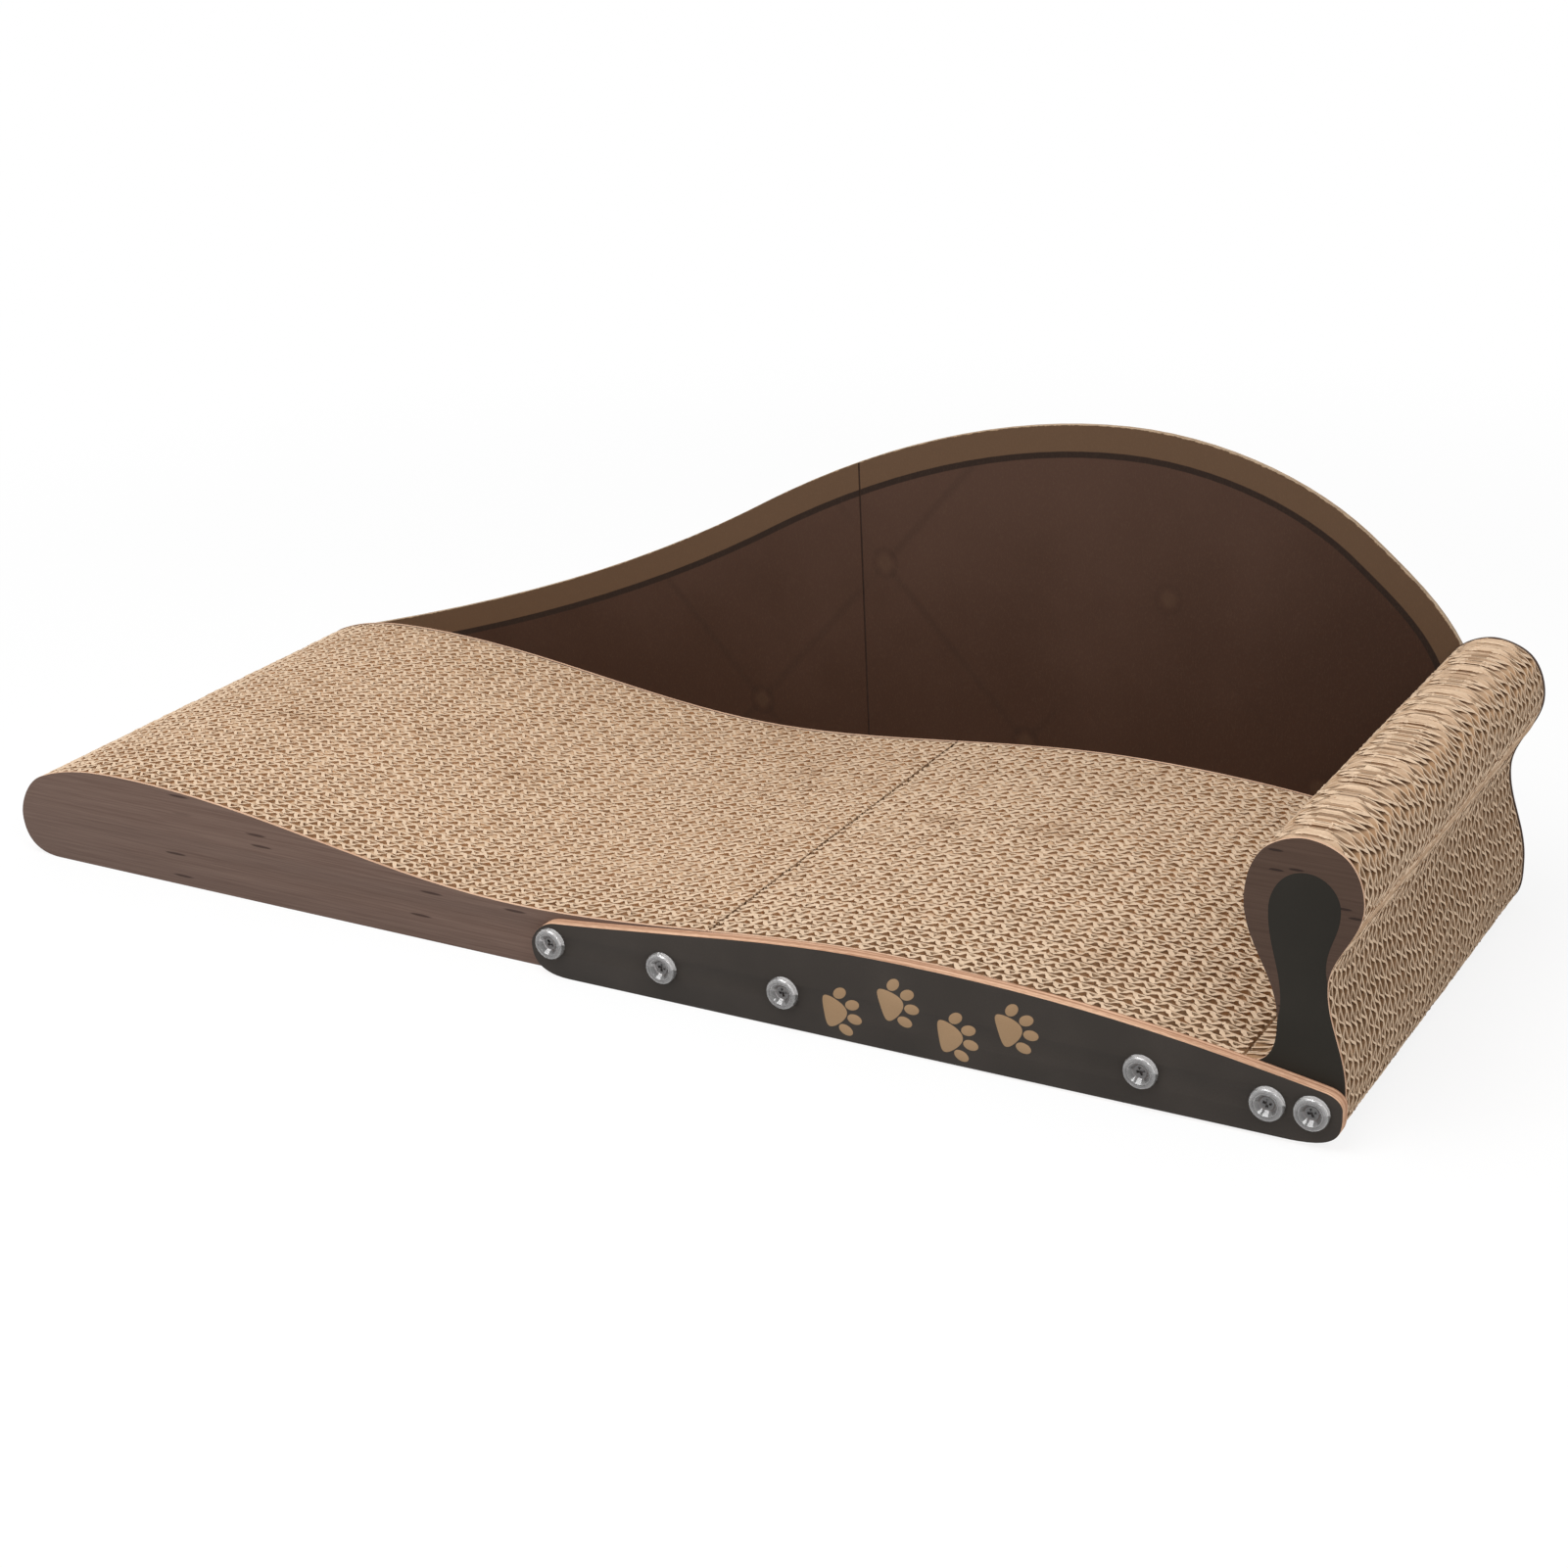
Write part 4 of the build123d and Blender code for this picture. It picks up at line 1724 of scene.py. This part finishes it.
    def _crossed(self, mesh: bpy.types.Mesh) -> bpy.types.Mesh:
        """Cut the cross recess into the dished face.

        Args:
            mesh: screw without its recess.

        Returns:
            Screw with its recess.
        """
        cutter = bmesh.new()
        floor = self.dish_share * self.head_height - self.cross_depth
        arms = ((self.cross_length, self.cross_width), (self.cross_width, self.cross_length))
        for wide, long in arms:
            for vert in bmesh.ops.create_cube(cutter, size=1.0)["verts"]:
                lower = vert.co.z < 0
                narrow = self.cross_taper if lower else 1.0
                height = floor if lower else self.head_height
                vert.co = (vert.co.x * wide * narrow, vert.co.y * long * narrow, height)
        cross = bpy.data.meshes.new("cross")
        cutter.to_mesh(cross)
        cutter.free()
        tool = linked("cross", cross)
        piece = linked("screw", mesh)
        cut = piece.modifiers.new("cross", "BOOLEAN")
        cut.operation = "DIFFERENCE"
        cut.solver = "EXACT"
        cut.use_self = True
        cut.object = tool
        result = evaluated(piece)
        bpy.data.objects.remove(piece)
        bpy.data.objects.remove(tool)
        # Painted highlights and painted shade by share of the head radius.
        radii = np.array([math.hypot(v.co.x, v.co.y) for v in result.vertices]) / self.head_radius
        keep_numbers(result, "cloudy", np.interp(radii, *zip(*self.glint_and_shade_shares)))
        return result


@dataclass
class PawTrail:
    """A trail of plain paw prints across the middle of the rail."""

    first: Pair = (122 * MM, 18 * MM)
    stride: float = 27 * MM
    sway: float = 4.4 * MM
    count: int = 4
    size: float = 7.8 * MM
    heading: float = -1.35
    swing: float = 0.08
    film: float = 0.1 * MM
    proud: float = 0.05 * MM
    rounding: float = 0.02 * MM
    loop_points: int = 40
    pad_half_sizes: Pair = (0.92, 0.72)
    pad_taper: float = 0.18
    pad_dent: float = 0.16
    toe_half_sizes: Pair = (0.3, 0.44)
    toes: tuple[Triple, ...] = (
        (-1.08, 0.62, 0.5), (-0.42, 1.28, 0.2), (0.42, 1.28, -0.2), (1.08, 0.62, -0.5),
    )

    def build(self, finishes: Finishes) -> None:
        """Make and hand over the trail as one thin printed film.

        Args:
            finishes: materials of the object.
        """
        front = SideView("rail_front_paper").front - self.proud
        loops = []
        for step in range(self.count):
            side = 1 if step % 2 else -1
            centre = np.array(self.first) + (step * self.stride, side * self.sway)
            loops += self._print(centre, self.heading + self.swing * side)
        piece = plate("rail_paw_print", loops, front, front + self.film, self.rounding)
        handed_over(dressed(piece, finishes.paw_ink, finishes.paw_ink), "charcoal_paper")

    def _print(self, centre: np.ndarray, heading: float) -> list[np.ndarray]:
        """Loops of one paw print: a main pad and four toes.

        Args:
            centre: middle of the main pad.
            heading: turn of the print.

        Returns:
            The loops.
        """
        turns = np.linspace(0, math.tau, self.loop_points, endpoint=False)
        circle = np.column_stack([np.cos(turns), np.sin(turns)])
        pad = circle * self.pad_half_sizes
        pad[:, 0] *= 1 - self.pad_taper * np.sin(turns)
        pad[:, 1] -= self.pad_dent * np.cos(2 * turns)
        oval = circle * self.toe_half_sizes
        shapes = [pad, *(oval @ self._turned(lean) + (x, z) for x, z, lean in self.toes)]
        return [shape * self.size @ self._turned(heading) + centre for shape in shapes]

    @staticmethod
    def _turned(angle: float) -> np.ndarray:
        """Matrix that turns rows of points by an angle."""
        return np.array([[math.cos(angle), math.sin(angle)], [-math.sin(angle), math.cos(angle)]])


@dataclass(frozen=True)
class Lamp:
    """A square soft lamp that faces the object."""

    name: str
    power: float
    place: Triple
    side: float

    def hang(self) -> None:
        """Put the lamp in the scene."""
        lamp = bpy.data.lights.new(self.name, "AREA")
        lamp.energy = self.power
        lamp.size = self.side
        holder = linked(self.name, lamp)
        holder.location = self.place
        holder.rotation_euler = (-Vector(self.place)).to_track_quat("-Z", "Y").to_euler()


@dataclass
class Studio:
    """Pale floor, soft light and the camera."""

    eye: Triple = (0.6338, -1.0009, 0.5374)
    yaw: float = 31.16
    pitch: float = 22.48
    roll: float = 2.95
    lens: float = 62.35
    sensor: float = 36.0
    floor_side: float = 8.0
    floor_paint: Paint = paint(246, 246, 246)
    ambient: float = 0.46
    whiteness: float = 0.85
    fade: Pair = (0.5, 1.1)
    lamps: tuple[Lamp, ...] = (
        Lamp("key", 34.0, (-0.3, -0.8, 1.95), 1.6),
        Lamp("side", 7.4, (1.45, -1.0, 1.5), 0.7),
    )

    def build(self) -> None:
        """Set up the floor, the light and the camera."""
        bpy.context.scene.view_settings.view_transform = "Standard"
        self._floor()
        self._world()
        for lamp in self.lamps:
            lamp.hang()
        self._camera()

    @staticmethod
    def _seen(sheet: NodeSheet) -> Value:
        """Where the camera looks, straight or through gloss and clear plastic: 1, and 0 for other rays."""
        rays = sheet.node("ShaderNodeLightPath", output="Is Camera Ray")
        return rays.larger(rays.other("Is Glossy Ray")).larger(rays.other("Is Transmission Ray"))

    def _floor(self) -> None:
        """A wide pale floor, open to a look from below."""
        half = self.floor_side / 2
        corners = [(-half, -half, 0), (half, -half, 0), (half, half, 0), (-half, half, 0)]
        mesh = bpy.data.meshes.new("floor")
        mesh.from_pydata(corners, [], [(0, 1, 2, 3)])
        shade = Shade("floor_paper")
        pale = shade.node("ShaderNodeBsdfDiffuse", None, {"Color": self.floor_paint})
        white = shade.node("ShaderNodeEmission", None, {"Strength": 1.0})
        place = shade.node("ShaderNodeTexCoord", output="Object")
        away = shade.node("ShaderNodeVectorMath", {"operation": "LENGTH"}, {0: place}, "Value")
        share = self.whiteness + away.rise(*self.fade) * (1 - self.whiteness)
        bright = shade.node("ShaderNodeMixShader", None, {0: self._seen(shade) * share, 1: pale, 2: white})
        below = shade.node("ShaderNodeNewGeometry", output="Backfacing")
        open_side = shade.node("ShaderNodeBsdfTransparent")
        both = shade.node("ShaderNodeMixShader", None, {0: below, 1: bright, 2: open_side})
        shade.node("ShaderNodeOutputMaterial", None, {"Surface": both})
        mesh.materials.append(shade.material)
        linked("floor", mesh)

    def _world(self) -> None:
        """Even light from all round, white where it is seen or mirrored."""
        world = bpy.data.worlds.new("studio")
        world.use_nodes = True
        bpy.context.scene.world = world
        sheet = NodeSheet(world.node_tree)
        soft, white = (
            sheet.node("ShaderNodeBackground", None, {"Strength": strength, "Color": (1, 1, 1, 1)})
            for strength in (self.ambient, 1.0)
        )
        both = sheet.node("ShaderNodeMixShader", None, {0: self._seen(sheet), 1: soft, 2: white})
        sheet.node("ShaderNodeOutputWorld", None, {"Surface": both})

    def _camera(self) -> None:
        """The camera at the photograph's viewing angle."""
        yaw, pitch, roll = (math.radians(angle) for angle in (self.yaw, self.pitch, self.roll))
        across = math.cos(pitch)
        ahead = Vector((-math.sin(yaw) * across, math.cos(yaw) * across, -math.sin(pitch)))
        level = Vector((math.cos(yaw), math.sin(yaw), 0))
        down = ahead.cross(level)
        right = math.cos(roll) * level + math.sin(roll) * down
        up = math.sin(roll) * level - math.cos(roll) * down
        data = bpy.data.cameras.new("camera")
        data.lens = self.lens
        data.sensor_width = self.sensor
        camera = linked("camera", data)
        turn = Matrix((right, up, -ahead)).transposed().to_4x4()
        camera.matrix_world = Matrix.Translation(self.eye) @ turn
        bpy.context.scene.camera = camera


def main() -> None:
    """Build the object's pieces and its studio in order."""
    logging.basicConfig(level=logging.INFO, format="%(message)s")
    finishes = Finishes()
    corrugation = Corrugation().tree()
    blocks = (
        CorrugatedBlock("ramp", FluteRun.UPRIGHT, 11),
        CorrugatedBlock("seat", FluteRun.UPRIGHT, 23, flute_rim=2.4 * MM, fill_growth=1.3),
        CorrugatedBlock(
            "armrest", FluteRun.LENGTHWISE, 37, flute_rim=1.3 * MM, flute_shift=0.4 * MM, phase_drift=4.0,
            phase_scatter=math.pi, fill_depth=(4.0 * MM, 6.0 * MM, 9.0 * MM), front_growth=0.0,
            smear_height=86.0 * MM, smear_half_width=13.0 * MM),
    )
    for block in blocks:
        block.build(corrugation, finishes)
    for part in (PrintedSheets(), ArmrestPrint(), FrontRail(), PawTrail(), BackPanel(), Screws()):
        part.build(finishes)
    Studio().build()


if __name__ == "__main__":
    main()
